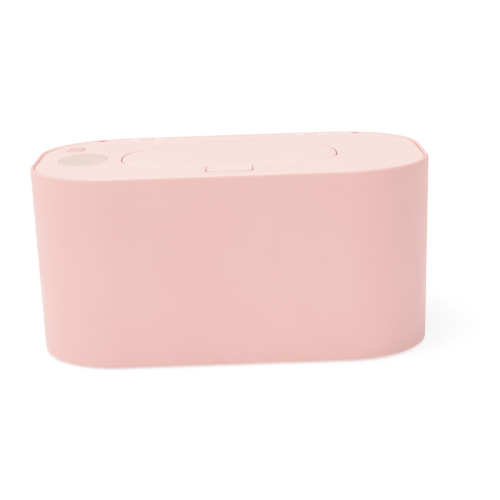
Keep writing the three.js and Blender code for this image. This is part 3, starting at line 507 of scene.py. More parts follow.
class NodeTree:
    """A geometry node tree with named sizes, built node by node and run once."""

    def __init__(self, name: str) -> None:
        """Starts an empty tree.

        Args:
            name: The tree's name.
        """
        self.group = bpy.data.node_groups.new(name, "GeometryNodeTree")
        self.group.interface.new_socket("Geometry", in_out="OUTPUT", socket_type="NodeSocketGeometry")
        self.entry = self.group.nodes.new("NodeGroupInput")
        self.values: dict[str, object] = {}

    def value(self, name: str, value: object, kind: str = "Float") -> Socket:
        """Adds a named input to the tree.

        Args:
            name: What the input is called.
            value: What it is set to.
            kind: Its socket's kind, such as Float, Int, Vector, Object or Material.

        Returns:
            The socket that carries the value.
        """
        socket = self.group.interface.new_socket(name, in_out="INPUT", socket_type=f"NodeSocket{kind}")
        self.values[socket.identifier] = value
        return self.entry.outputs[name]

    def node(self, kind: str, inputs: dict[str, object], **settings: object) -> Socket:
        """Adds a node and feeds its inputs.

        Args:
            kind: The node's kind, without its GeometryNode prefix.
            inputs: A socket or a plain value for each named input.
            settings: The node's own options.

        Returns:
            The node's first output.
        """
        made = self.group.nodes.new(f"GeometryNode{kind}")
        for option, choice in settings.items():
            setattr(made, option, choice)
        for name, source in inputs.items():
            if isinstance(source, Socket):
                self.group.links.new(source, made.inputs[name])
            else:
                made.inputs[name].default_value = source
        return made.outputs[0]

    def shape(self, name: str, source: Object) -> Socket:
        """Adds an input for another object and returns that object's geometry."""
        made = self.node("ObjectInfo", {"Object": self.value(name, source, "Object")})
        return made.node.outputs["Geometry"]

    def run(self, geometry: Socket, finish: Material) -> Solid:
        """Ends the tree with realised, painted geometry and turns it into a plain mesh.

        Args:
            geometry: What the tree makes.
            finish: Its material.

        Returns:
            The mesh as a solid, with no modifier left.
        """
        paint = self.value("Finish", finish, "Material")
        real = self.node("RealizeInstances", {"Geometry": geometry})
        painted = self.node("SetMaterial", {"Geometry": real, "Material": paint})
        leave = self.group.nodes.new("NodeGroupOutput")
        self.group.links.new(painted, leave.inputs["Geometry"])
        holder = bpy.data.objects.new("solid", bpy.data.meshes.new("solid"))
        bpy.context.scene.collection.objects.link(holder)
        modifier = holder.modifiers.new(self.group.name, "NODES")
        modifier.node_group = self.group
        for identifier, value in self.values.items():
            modifier[identifier] = value
        return Solid.around(bake_modifiers(holder))


def grid_copies(
    name: str,
    shape: Solid,
    spread: Pair,
    finish: Material,
    counts: tuple[int, int] = (2, 2),
    y: float = 0.0,
) -> Solid:
    """Repeats a shape over a level grid of places with a node tree.

    Args:
        name: What the tree is called.
        shape: What is repeated. It is used up.
        spread: The grid's whole size in x and y.
        finish: The material of the copies.
        counts: How many stand along x and along y.
        y: Where the grid's middle is.

    Returns:
        One solid that holds all the copies.
    """
    tree = NodeTree(name)
    places = tree.node("MeshGrid", {
        "Size X": tree.value("Spread X", spread[0]),
        "Size Y": tree.value("Spread Y", spread[1]),
        "Vertices X": tree.value("Count X", counts[0], "Int"),
        "Vertices Y": tree.value("Count Y", counts[1], "Int"),
    })
    centre = tree.value("Middle", (0.0, y, 0.0), "Vector")
    placed = tree.node("Transform", {"Geometry": places, "Translation": centre})
    copies = tree.node("InstanceOnPoints", {"Points": placed, "Instance": tree.shape("Shape", shape.object)})
    made = tree.run(copies, finish)
    bpy.data.objects.remove(shape.object)
    return made


def swept_wall(outline: BodyOutline, section: Sequence[Point], finish: Material) -> Solid:
    """Sweeps a closed wall section round the box's outline with a node tree.

    Args:
        outline: The box's outline at its top.
        section: The section's points, as how far in and how high each lies.
        finish: The wall's material.

    Returns:
        A closed ring of wall.
    """
    curve = bpy.data.curves.new("wall_section", "CURVE")
    curve.dimensions = "3D"
    spline = curve.splines.new("POLY")
    spline.points.add(len(section) - 1)
    for point, (inset, z) in zip(spline.points, section, strict=True):
        point.co = (-inset, -z, 0.0, 1.0)
    spline.use_cyclic_u = True
    profile = bpy.data.objects.new("wall_section", curve)
    bpy.context.scene.collection.objects.link(profile)
    tree = NodeTree("wall_sweep")
    rectangle = tree.node("CurvePrimitiveQuadrilateral", {
        "Width": tree.value("Length", 2 * outline.high.x),
        "Height": tree.value("Depth", 2 * outline.high.y),
    }, mode="RECTANGLE")
    rounded = tree.node("FilletCurve", {
        "Curve": rectangle,
        "Count": tree.value("Corner Steps", outline.corner_steps, "Int"),
        "Radius": tree.value("Corner Radius", outline.corner_radius),
        "Limit Radius": True,
    }, mode="POLY")
    upright = tree.node("SetCurveNormal", {"Curve": rounded}, mode="Z_UP")
    wall = tree.node("CurveToMesh", {"Curve": upright, "Profile Curve": tree.shape("Section", profile)})
    made = tree.run(wall, finish)
    bpy.data.objects.remove(profile)
    return made


# Finishes


class Shader:
    """A material's node tree round one Principled surface."""

    # The span that noise mostly fills, and the places of a Mix node's colour sockets, which share
    # their names with its number sockets
    NOISE_SPAN = (0.3, 0.7)
    MIX_COLOURS = (6, 7)
    MIX_RESULT = 2

    def __init__(self, name: str) -> None:
        """Starts a material.

        Args:
            name: The material's name.
        """
        self.material = bpy.data.materials.new(name)
        self.material.use_nodes = True
        self.nodes = self.material.node_tree.nodes
        self.surface = self.nodes["Principled BSDF"]
        self.place = self.nodes.new("ShaderNodeTexCoord").outputs["Object"]

    def link(self, source: Socket, target: Socket) -> None:
        """Joins two sockets."""
        self.material.node_tree.links.new(source, target)

    def fix(self, **values: object) -> None:
        """Sets numbers on the surface's own sockets, with _ for a space in their names."""
        for name, value in values.items():
            self.surface.inputs[name.replace("_", " ")].default_value = value

    def noise(self, size: float, detail: float = 2.0, stretch: Sequence[float] = (1, 1, 1)) -> Socket:
        """Adds soft noise.

        Args:
            size: About how wide one blotch is, in metres.
            detail: How many finer layers it has.
            stretch: How much finer it is along x, y and z.

        Returns:
            Noise of about 0 to 1.
        """
        scaled = self.nodes.new("ShaderNodeMapping")
        scaled.inputs["Scale"].default_value = tuple(stretch)
        self.link(self.place, scaled.inputs["Vector"])
        made = self.nodes.new("ShaderNodeTexNoise")
        made.inputs["Scale"].default_value = 1 / size
        made.inputs["Detail"].default_value = detail
        self.link(scaled.outputs["Vector"], made.inputs["Vector"])
        return made.outputs["Fac"]

    def spread(self, source: Socket, low: float, high: float) -> Socket:
        """Maps the span that noise mostly fills to a range of values.

        Args:
            source: The noise.
            low: Where the range starts.
            high: Where it ends.

        Returns:
            The mapped value.
        """
        made = self.nodes.new("ShaderNodeMapRange")
        limits = ("From Min", "From Max", "To Min", "To Max")
        for name, value in zip(limits, (*self.NOISE_SPAN, low, high), strict=True):
            made.inputs[name].default_value = value
        self.link(source, made.inputs["Value"])
        return made.outputs["Result"]

    def tint(self, source: Socket, first: Colour, second: Colour) -> None:
        """Colours the surface between two screen colours by a value of about 0 to 1.

        Args:
            source: The value.
            first: The colour at 0.
            second: The colour at 1.
        """
        made = self.nodes.new("ShaderNodeMix")
        made.data_type = "RGBA"
        for place, colour in zip(self.MIX_COLOURS, (first, second), strict=True):
            made.inputs[place].default_value = linear(colour)
        self.link(self.spread(source, 0.0, 1.0), made.inputs["Factor"])
        self.link(made.outputs[self.MIX_RESULT], self.surface.inputs["Base Color"])

    def relief(self, *layers: tuple[Socket, float]) -> None:
        """Adds relief to the surface.

        Args:
            layers: Each a height of 0 to 1, and what a height of 1 stands for in metres.
        """
        normal = None
        for height, depth in layers:
            made = self.nodes.new("ShaderNodeBump")
            made.inputs["Distance"].default_value = depth
            self.link(height, made.inputs["Height"])
            if normal is not None:
                self.link(normal, made.inputs["Normal"])
            normal = made.outputs["Normal"]
        self.link(normal, self.surface.inputs["Normal"])


@dataclass(frozen=True)
class Finish:
    """A surface finish for the pieces of one material slot of the record."""

    slot: str
    colour: Colour
    fade: Colour
    rough: Pair = (0.45, 0.55)
    grain: float = 0.35 * MM
    grain_depth: float = 0.01 * MM
    colour_drift: float = 60 * MM
    gloss_drift: float = 9 * MM
    waves: float = 14 * MM

    @property
    def name(self) -> str:
        """Returns the name of the finish's material."""
        return f"{self.slot}_finish"

    def shader(self) -> Shader:
        """Paints the base colour with a slow drift, and gives a fine moulded grain.

        Returns:
            The shader.
        """
        made = Shader(self.name)
        made.tint(made.noise(self.colour_drift, 3), self.colour, self.fade)
        gloss = made.spread(made.noise(self.gloss_drift, 4), *self.rough)
        made.link(gloss, made.surface.inputs["Roughness"])
        grain, waves = made.noise(self.grain, 3), made.noise(self.waves)
        made.relief((grain, self.grain_depth), (waves, self.grain_depth * 2))
        return made

    def material(self) -> Material:
        """Returns the finish's material, made when it is first asked for."""
        return bpy.data.materials.get(self.name) or self.shader().material


@dataclass(frozen=True)
class SatinPlastic(Finish):
    """Moulded plastic with a satin grain and a faint sheen at low angles."""

    sheen: float = 0.03

    def shader(self) -> Shader:
        """Adds the sheen to the moulded base.

        Returns:
            The shader.
        """
        made = super().shader()
        made.fix(IOR=1.49, Sheen_Weight=self.sheen, Sheen_Roughness=0.5)
        return made


@dataclass(frozen=True)
class SmokedLens(Finish):
    """A tinted, glossy lens that lets nothing through while it is unlit."""

    def shader(self) -> Shader:
        """Adds a clear top layer with faint waves from moulding.

        Returns:
            The shader.
        """
        made = super().shader()
        made.fix(IOR=1.55, Coat_Weight=0.25, Coat_Roughness=0.3)
        return made


@dataclass(frozen=True)
class Silicone(Finish):
    """Soft, slightly milky silicone or rubber."""

    milky: float = 0.25
    light_reach: Triple = (2 * MM, 1.5 * MM, 1.2 * MM)

    def shader(self) -> Shader:
        """Lets some light into the surface, and gives it a dusty sheen.

        Returns:
            The shader.
        """
        made = super().shader()
        made.fix(Subsurface_Weight=self.milky, Subsurface_Radius=self.light_reach, Subsurface_Scale=1.0)
        made.fix(Sheen_Weight=0.2, Sheen_Roughness=0.6)
        return made


@dataclass(frozen=True)
class PlatedMetal(Finish):
    """Zinc-plated steel, brushed along X."""

    spangle: float = 3 * MM
    line_width: float = 0.6 * MM
    along_x: Triple = (0.1, 1, 1)

    def shader(self) -> Shader:
        """Gives the metal fine drawn lines.

        Returns:
            The shader.
        """
        made = Shader(self.name)
        made.tint(made.noise(self.spangle, 3), self.colour, self.fade)
        made.fix(Metallic=1.0)
        lines = made.noise(self.line_width, 3, self.along_x)
        made.link(made.spread(lines, *self.rough), made.surface.inputs["Roughness"])
        made.relief((lines, self.grain_depth))
        return made


@dataclass(frozen=True)
class Laminate(Finish):
    """Circuit board: solder mask over a glass weave and copper runs."""

    weave: float = 0.6 * MM
    run_pitch: float = 2.2 * MM
    run_share: float = 0.12

    def shader(self) -> Shader:
        """Shows the copper runs as paler lines, and the weave as relief.

        Returns:
            The shader.
        """
        made = Shader(self.name)
        bricks = made.nodes.new("ShaderNodeTexBrick")
        bricks.inputs["Scale"].default_value = 1 / self.run_pitch
        bricks.inputs["Mortar Size"].default_value = self.run_share
        for name, colour in (("Color1", self.colour), ("Color2", self.colour), ("Mortar", self.fade)):
            bricks.inputs[name].default_value = linear(colour)
        made.link(made.place, bricks.inputs["Vector"])
        made.link(bricks.outputs["Color"], made.surface.inputs["Base Color"])
        made.fix(Roughness=self.rough[0], Coat_Weight=0.3)
        threads = made.nodes.new("ShaderNodeTexWave")
        threads.inputs["Scale"].default_value = 1 / self.weave
        made.link(made.place, threads.inputs["Vector"])
        made.relief((threads.outputs["Fac"], self.grain_depth))
        return made


@dataclass(frozen=True)
class Felt(Finish):
    """Pressed fibre, for the insulation."""

    fibre: float = 0.5 * MM
    fibre_depth: float = 0.15 * MM
    fibre_ways: tuple[Triple, ...] = ((0.15, 1, 1), (1, 0.15, 1))

    def shader(self) -> Shader:
        """Lays long fibres both ways over the moulded base.

        Returns:
            The shader.
        """
        made = super().shader()
        made.fix(Sheen_Weight=0.5, Sheen_Roughness=0.8)
        made.relief(*((made.noise(self.fibre, 4, way), self.fibre_depth) for way in self.fibre_ways))
        return made


@dataclass(frozen=True)
class Palette:
    """The finishes of the whole object."""

    shell: Finish = SatinPlastic("pink_shell", (213, 170, 165), (216, 173, 168))
    # The deck is the shell's pink plastic; its lighter pink than the shell's is painted light, standing in
    # for the brighter light on the upward-facing deck.
    deck: Finish = SatinPlastic("pink_deck", (223, 180, 176), (226, 183, 179))
    key: Finish = SatinPlastic("deep_pink", (206, 164, 162), (211, 169, 166), (0.4, 0.5))
    window: Finish = SmokedLens(
        "window_grey", (196, 177, 169), (202, 183, 175), (0.36, 0.46), grain_depth=0.001 * MM
    )
    white: Finish = SatinPlastic("white_plastic", (236, 233, 228), (240, 238, 234), (0.35, 0.45))
    silicone: Finish = Silicone("silicone", (228, 222, 216), (233, 228, 223), (0.5, 0.6))
    rubber: Finish = Silicone(
        "dark_rubber", (70, 67, 66), (82, 79, 77), (0.75, 0.85), 0.25 * MM, 0.03 * MM, milky=0.0
    )
    steel: Finish = PlatedMetal(
        "steel", (190, 192, 194), (204, 205, 206), (0.25, 0.4), grain_depth=0.004 * MM
    )
    board: Finish = Laminate("board_green", (38, 96, 66), (66, 128, 92), (0.35, 0.4), grain_depth=0.02 * MM)
    black: Finish = SatinPlastic("black_plastic", (34, 34, 37), (42, 42, 45), (0.45, 0.55), 0.2 * MM)
    foam: Finish = Felt("foam", (222, 219, 211), (214, 210, 200), (0.85, 0.95))
    film: Finish = SmokedLens("heater_film", (196, 132, 70), (206, 143, 80), (0.2, 0.3))
    wire: Finish = Silicone("red_wire", (176, 50, 44), (184, 58, 50), (0.4, 0.5), 0.3 * MM, milky=0.0)


def settle(piece: Object, body: Body, finish: Finish, *nodes: str) -> Object:
    """Finishes a piece: its material, its body, and the CAD nodes that it stands for.

    Args:
        piece: The piece, in its place.
        body: The body that it rides on.
        finish: Its finish.
        nodes: The nodes that it replaces.

    Returns:
        The piece.
    """
    piece.data.materials.clear()
    piece.data.materials.append(finish.material())
    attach(piece, body.value)
    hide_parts(*nodes)
    LOG.info("%s: %d faces on %s", piece.name, len(piece.data.polygons), body.value)
    return piece


# Sub-assemblies


def middle(node: str) -> Vector:
    """Returns the middle of a CAD node's box."""
    low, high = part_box(node)
    return (low + high) / 2


def places_of(group: str) -> list[Point]:
    """Returns where the CAD nodes whose names start with a group's name stand in plan."""
    middles = [middle(node) for node in sorted(frame["nodes"]) if node.startswith(group)]
    return [(place.x, place.y) for place in middles]


@dataclass(frozen=True)
class Screw:
    """A pan-head screw that stands on its head, with a tapered cross drive.

    The head has a radius and a height, and the cross a width and a depth. The thread's sizes are shares
    of the shank's radius, its root and crest are places in a turn, and the cross reaches over a share of
    the head.
    """

    head: Pair
    shank: float
    cross: Pair
    soft: float = 0.35 * MM
    thread_depth: float = 0.2
    thread_pitch: float = 0.7
    root: float = 0.25
    crest: float = 0.75
    tip: float = 0.5
    cross_reach: float = 0.55

    def solid(self, length: float) -> Solid:
        """Makes the screw.

        Args:
            length: Its whole length.

        Returns:
            The screw, with the face of its head at z = 0.
        """
        radius, height = self.head
        shank, run = self.shank, length - self.head[1]
        turns = max(round(run / (shank * self.thread_pitch)), 1)
        profile = [(radius - inset, rise) for rise, inset in rounding(self.soft)]
        profile += [(radius, height), (shank, height)]
        for turn in range(turns):
            low = height + run * turn / turns
            profile.append((shank - shank * self.thread_depth, low + run * self.root / turns))
            profile.append((shank, low + run * self.crest / turns))
        profile.append((shank * self.tip, height + run))
        reach, (width, depth) = radius * self.cross_reach, self.cross
        slots = box(-reach, reach, -width / 2, width / 2, -OVERRUN, depth)
        slots.join(box(-width / 2, width / 2, -reach, reach, -OVERRUN, depth))
        cone = lathe([(reach, -OVERRUN), (reach, 0), (width / 2, depth)])
        return lathe(profile).cut(slots.combine(Op.KEEP, cone))


@dataclass
class Plan:
    """Sizes and levels that several sub-assemblies share."""

    outline: BodyOutline
    oval: LidOval
    deck_drop: float = 0.6 * MM
    deck_thickness: float = 2.2 * MM
    wall: float = 2.4 * MM
    rim_wall: float = 1.8 * MM
    knuckle_radius: float = 1.4 * MM
    pin_radius: float = 0.6 * MM
    pin_end_wall: float = 0.8 * MM
    ear_x: float = 45 * MM
    ear_width: float = 6 * MM
    cover_knuckle_length: float = 6 * MM
    lid_gap: float = 0.8 * MM
    snug: float = 0.2 * MM
    lid_hinge_setback: float = 3.6 * MM
    tongue_overhang: float = 1.5 * MM
    hinge_lip: float = 0.25 * MM
    hairline: float = 0.1 * MM
    lid_tongue: float = 30 * MM
    lid_ear_length: float = 6 * MM
    dispense: Pair = (36 * MM, 17 * MM)
    collar_wall: float = 1.4 * MM
    skirt_insets: Pair = (3.5 * MM, 7.1 * MM)
    tab_half: float = 11.2 * MM
    tab_corner: float = 0.8 * MM
    tab_skin: float = 1.2 * MM
    tab_lug: float = 1.1 * MM
    nose_half: float = 5 * MM
    nose_height: float = 0.7 * MM
    key_flange: float = 1 * MM
    key_corner: float = 2 * MM
    window_trim: float = 1 * MM
    window_shift: float = 0.28 * MM
    pad_top: float = 6.5 * MM
    base_screw: Screw = Screw((2.75 * MM, 1.7 * MM), 1.4 * MM, (0.7 * MM, 0.8 * MM))
    small_screw: Screw = Screw((1.8 * MM, 1.2 * MM), 0.8 * MM, (0.5 * MM, 0.55 * MM))
    hinges: dict[str, Vector] = field(default_factory=dict)

    @classmethod
    def of_frame(cls) -> "Plan":
        """Reads the plan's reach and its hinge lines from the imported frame.

        Returns:
            The plan.
        """
        low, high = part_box("outer_shell")
        lid_low, lid_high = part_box("flip_lid")
        turning = [joint for joint in frame["joints"] if "pos_m" in joint]
        hinges = {joint["name"]: Vector(joint["pos_m"]) for joint in turning}
        oval = LidOval(lid_high.x, lid_low.y, hinges["lid_hinge"].y - cls.lid_hinge_setback)
        return cls(BodyOutline(low, high), oval, hinges=hinges)

    @property
    def rim_top(self) -> float:
        """Returns the top of the rim."""
        return self.outline.high.z

    @property
    def deck_top(self) -> float:
        """Returns the top of the deck."""
        return self.rim_top - self.deck_drop

    @property
    def deck_under(self) -> float:
        """Returns the underside of the deck."""
        return self.deck_top - self.deck_thickness

    @property
    def above(self) -> float:
        """Returns a height that clears everything."""
        return self.rim_top + OVERRUN

    @property
    def ears_x(self) -> Pair:
        """Returns where the cover hinge's two ears stand along X."""
        return (-self.ear_x, self.ear_x)

    @property
    def tab_ends(self) -> Pair:
        """Returns the latch button's front and rear."""
        return (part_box("latch_button")[0].y, self.oval.front - self.lid_gap)

    @property
    def screw_places(self) -> list[Point]:
        """Returns where the base's screws stand."""
        place = middle("base_screw_4")
        return four_places(place.x, place.y)

    @property
    def cover_bore_reach(self) -> float:
        """Returns half the length of a cover hinge bore, from the middle of its ear."""
        return self.ear_width / 2 + SLIDE_GAP + self.cover_knuckle_length - self.pin_end_wall

    @property
    def lid_bore_reach(self) -> float:
        """Returns half the length of the lid hinge bore."""
        return self.lid_tongue / 2 + SLIDE_GAP + self.lid_ear_length - self.pin_end_wall

    def dispense_ring(self, z: float, grow: float) -> Ring:
        """Draws the dispensing opening, grown outwards."""
        return ellipse_ring(z, 0, self.oval.centre_y, self.dispense[0] + grow, self.dispense[1] + grow)

    def window_ring(self, z: float, grow: float, share: float = 1.0) -> Ring:
        """Draws the display window.

        Args:
            z: Height of the ring.
            grow: How far it is grown outwards.
            share: Its share of the full size.

        Returns:
            The ring.
        """
        low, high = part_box("display_window")
        mid, half = (low + high) / 2, (high - low) / 2
        reach = Vector((half.x - self.window_trim + grow, half.y + grow)) * share
        return ellipse_ring(z, mid.x + self.window_shift, mid.y, *reach)

    def key_ring(self, z: float, grow: float) -> Ring:
        """Draws the power key's cap.

        Args:
            z: Height of the ring.
            grow: How far it is grown outwards.

        Returns:
            The ring.
        """
        low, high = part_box("power_key")
        mid, half = (low + high) / 2, (high - low) / 2
        x, y = half.x - self.key_flange + grow, half.y - self.key_flange + grow
        return rounded_ring(z, x, -y, y, self.key_corner + grow, FILLET_STEPS).moved(mid.x, mid.y)

    def cover_bores(self) -> list[Solid]:
        """Makes the cutters for the cover's hinge pins.

        Returns:
            The cutters, one for each ear.
        """
        hinge = self.hinges["cover_hinge"]
        radius = self.pin_radius + SEAT_GAP
        reach = self.cover_bore_reach
        return [bar(radius, x - reach, x + reach, hinge.y, hinge.z) for x in self.ears_x]

    def lid_bore(self) -> Solid:
        """Makes the cutter for the lid's hinge pin."""
        hinge, reach = self.hinges["lid_hinge"], self.lid_bore_reach
        return bar(self.pin_radius + SEAT_GAP, -reach, reach, hinge.y, hinge.z)


def arc(centre: Point, radii: Pair, start: float, end: float) -> list[Point]:
    """Draws a rounded corner of a wall section.

    Args:
        centre: How far in and how high its centre lies.
        radii: Its radius inwards and its radius upwards.
        start: The angle it starts at, in degrees.
        end: The angle it ends at.

    Returns:
        The corner's points.
    """
    angles = [math.radians(start + (end - start) * step / FILLET_STEPS) for step in range(FILLET_STEPS + 1)]
    return [(centre[0] + radii[0] * math.cos(a), centre[1] + radii[1] * math.sin(a)) for a in angles]


def tunnel(half_x: float, half_z: float, x: float, z: float, y0: float, y1: float) -> Solid:
    """Makes a rounded block or opening that runs front to back.

    Args:
        half_x: Half its width.
        half_z: Half its height.
        x: Where its axis lies along X.
        z: How high its axis lies.
        y0: Its front end.
        y1: Its rear end.

    Returns:
        The block.
    """
    round_share = 0.95
    corner_steps = 10

    def ring(level: float) -> Ring:
        """Draws the mouth at a level, before it is turned to face the back."""
        return rounded_ring(level, half_x, -half_z, half_z, half_z * round_share, corner_steps)

    return loft([ring(-y1), ring(-y0)]).turned(90, "X").moved(x, 0, z)


@dataclass
class OuterShell:
    """The leaning skin with its tank ledge, screw bosses, hinge ears and socket hole."""

    plan: Plan
    finish: Finish
    base_fillet: float = 1.2 * MM
    base_drop: float = 0.4 * MM
    rim_fillet: Pair = (1.1 * MM, 2 * MM)
    crest_inset: float = 1.15 * MM
    slope_ends: Pair = (94.88 * MM, 94.75 * MM)
    slope_overrun: float = 0.3 * MM
    relief_ends: Pair = (94.35 * MM, 94.35 * MM)
    relief_span: Pair = (62 * MM, 80 * MM)
    sill_insets: Pair = (2.25 * MM, 3.35 * MM)
    swing_insets: Pair = (2.25 * MM, 2.8 * MM)
    lip_insets: Pair = (2.25 * MM, 3.1 * MM)
    low_sill: Pair = (92.2 * MM, 93.3 * MM)
    swing_sill: Pair = (93.2 * MM, 93.95 * MM)
    high_sill: Pair = (93.2 * MM, 95.4 * MM)
    lip_sill: Pair = (94.45 * MM, 95.4 * MM)
    swing_zone: Triple = (54.1 * MM, 56 * MM, 56.2 * MM)
    ledge_bottom: float = 80.5 * MM
    ledge_top: float = 82.5 * MM
    ledge_inset: float = 7 * MM
    boss_radius: float = 3.5 * MM
    boss_height: float = 7 * MM
    boss_end_wall: float = 1.4 * MM
    boss_rib: float = 1.8 * MM
    rib_reach: float = 6 * MM
    ear_gusset: float = 7.5 * MM

    def build(self) -> None:
        """Makes the shell and dresses it."""
        solid = swept_wall(self.plan.outline, self.section(), self.finish.material())
        solid.join(*self.sills())
        solid.cut(self.slope(self.slope_ends, self.sill_insets), *self.reliefs())
        solid.join(*self.bosses(), *self.ears())
        solid.cut(*self.pilots(), self.socket_hole(), *self.plan.cover_bores())
        settle(solid.piece("outer_skin"), Body.HOUSING, self.finish, "outer_shell")

    def section(self) -> list[Point]:
        """Draws the wall's section.

        Returns:
            The section's points, as how far in and how high each lies.
        """
        plan = self.plan
        bottom, top = plan.outline.low.z - self.base_drop, plan.rim_top
        base, (depth, height) = self.base_fillet, self.rim_fillet
        drawn_in = [
            *arc((base, bottom + base), (base, base), 270, 180),
            *arc((depth, top - height), (depth, height), 180, 90),
            (plan.rim_wall, top),
            (plan.rim_wall, self.ledge_top),
            (self.ledge_inset, self.ledge_top),
            (self.ledge_inset, self.ledge_bottom),
            (plan.wall, self.ledge_bottom),
            (plan.wall, bottom),
        ]
        return [(plan.outline.drawn(z, inset), z) for inset, z in drawn_in]

    def sills(self) -> list[Solid]:
        """Makes the sills in the gap round the cover's edge, low or narrow where the cover swings by.

        Returns:
            The sills, one for each stretch.
        """
        near, mid, far = self.swing_zone
        front, back = self.plan.outline.low.y, self.plan.outline.high.y
        return [
            self.sill(self.low_sill, self.sill_insets, front, back),
            self.sill(self.high_sill, self.sill_insets, front, near),
            self.sill(self.swing_sill, self.swing_insets, near - BITE, mid + BITE),
            self.sill(self.high_sill, self.swing_insets, mid, far + BITE),
            self.sill(self.lip_sill, self.lip_insets, mid, far + BITE),
            self.sill(self.high_sill, self.sill_insets, far, back),
        ]

    def slope(self, ends: Pair, insets: Pair) -> Solid:
        """Makes a cutter that slopes the rim's inner edge.

        Args:
            ends: The slope's lowest level, at the sides and at the rear.
            insets: How far in it lies there.

        Returns:
            The cutter, which widens upwards.
        """
        ring, top = self.plan.outline.ring, self.plan.rim_top
        steps = [(inset - self.crest_inset) / (top - end) for inset, end in zip(insets, ends, strict=True)]
        levels = (min(ends) - self.slope_overrun, top + self.slope_overrun)
        return loft([ring(z, *(self.crest_inset + step * (top - z) for step in steps)) for z in levels])

    def reliefs(self) -> list[Solid]:
        """Makes the steeper slopes beside which the open cover's corners come down.

        Returns:
            The cutters, one for each side.
        """
        near, back = self.swing_zone[0], self.plan.outline.high.y
        made = []
        for side in (-1, 1):
            x0, x1 = sorted(side * x for x in self.relief_span)
            span = box(x0, x1, near, back, self.relief_ends[0], self.plan.above)
            made.append(self.slope(self.relief_ends, self.swing_insets).combine(Op.KEEP, span))
        return made

    def sill(self, levels: Pair, insets: Pair, front: float, back: float) -> Solid:
        """Makes one sill.

        Args:
            levels: Its lowest and highest level.
            insets: How far in it reaches, at the sides and at the rear.
            front: Where it starts.
            back: Where it ends.

        Returns:
            The sill, with its outside in the wall.
        """
        ring, reach = self.plan.outline.ring, self.plan.outline.high.x
        ends = (levels[0] - OVERRUN, levels[1] + OVERRUN)
        band = loft([ring(z, self.plan.rim_wall - BITE) for z in levels])
        inner = loft([ring(z, *insets) for z in ends])
        return band.cut(inner).combine(Op.KEEP, box(-reach, reach, front, back, *ends))

    def bosses(self) -> list[Solid]:
        """Makes the four screw bosses with the ribs that tie them to the corners.

        Returns:
            The bosses and ribs.
        """
        made = []
        z0 = self.plan.pad_top + SEAT_GAP
        z1 = z0 + self.boss_height
        for x, y in self.plan.screw_places:
            rib = box(0, self.rib_reach, -self.boss_rib / 2, self.boss_rib / 2, z0, z1)
            rib.turned(math.degrees(math.atan2(math.copysign(1, y), math.copysign(1, x))), "Z")
            made += [rod(self.boss_radius, x, y, z0, z1), rib.moved(x, y, 0)]
        return made

    def pilots(self) -> list[Solid]:
        """Makes the cutters for the screws' pilot holes.

        Returns:
            The cutters.
        """
        plan = self.plan
        radius = plan.base_screw.shank + SEAT_GAP
        top = plan.pad_top + SEAT_GAP + self.boss_height - self.boss_end_wall
        return [rod(radius, *place, plan.pad_top, top) for place in plan.screw_places]

    def ears(self) -> list[Solid]:
        """Makes the cover hinge's ears: barrels that swell into gussets on the rim wall.

        Returns:
            The two ears.
        """
        plan = self.plan
        hinge = plan.hinges["cover_hinge"]
        low = hinge.z - self.ear_gusset
        wall_y = plan.outline.high.y - plan.outline.drawn(low, plan.rim_wall)
        barrel = ellipse_ring(0, hinge.y, hinge.z, plan.knuckle_radius, plan.knuckle_radius, ROD_STEPS)
        foot = [(y, z) for y in (wall_y, wall_y + BITE) for z in (low, hinge.z + BITE)]
        points = [Vector(point) for point in (*barrel.points, *foot)]
        hull = [points[i] for i in convex_hull_2d(points)]
        width = plan.ear_width
        return [prism([Vector((x - width / 2, *point)) for point in hull], Vector((width, 0, 0)))
                for x in plan.ears_x]

    def socket_hole(self) -> Solid:
        """Makes the cutter for the power socket's hole.

        Returns:
            The cutter.
        """
        low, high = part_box("power_socket")
        half = (high - low) / 2
        back = self.plan.outline.high.y + OVERRUN
        return tunnel(half.x + SEAT_GAP, half.z + SEAT_GAP, 0, (low.z + high.z) / 2, low.y, back)


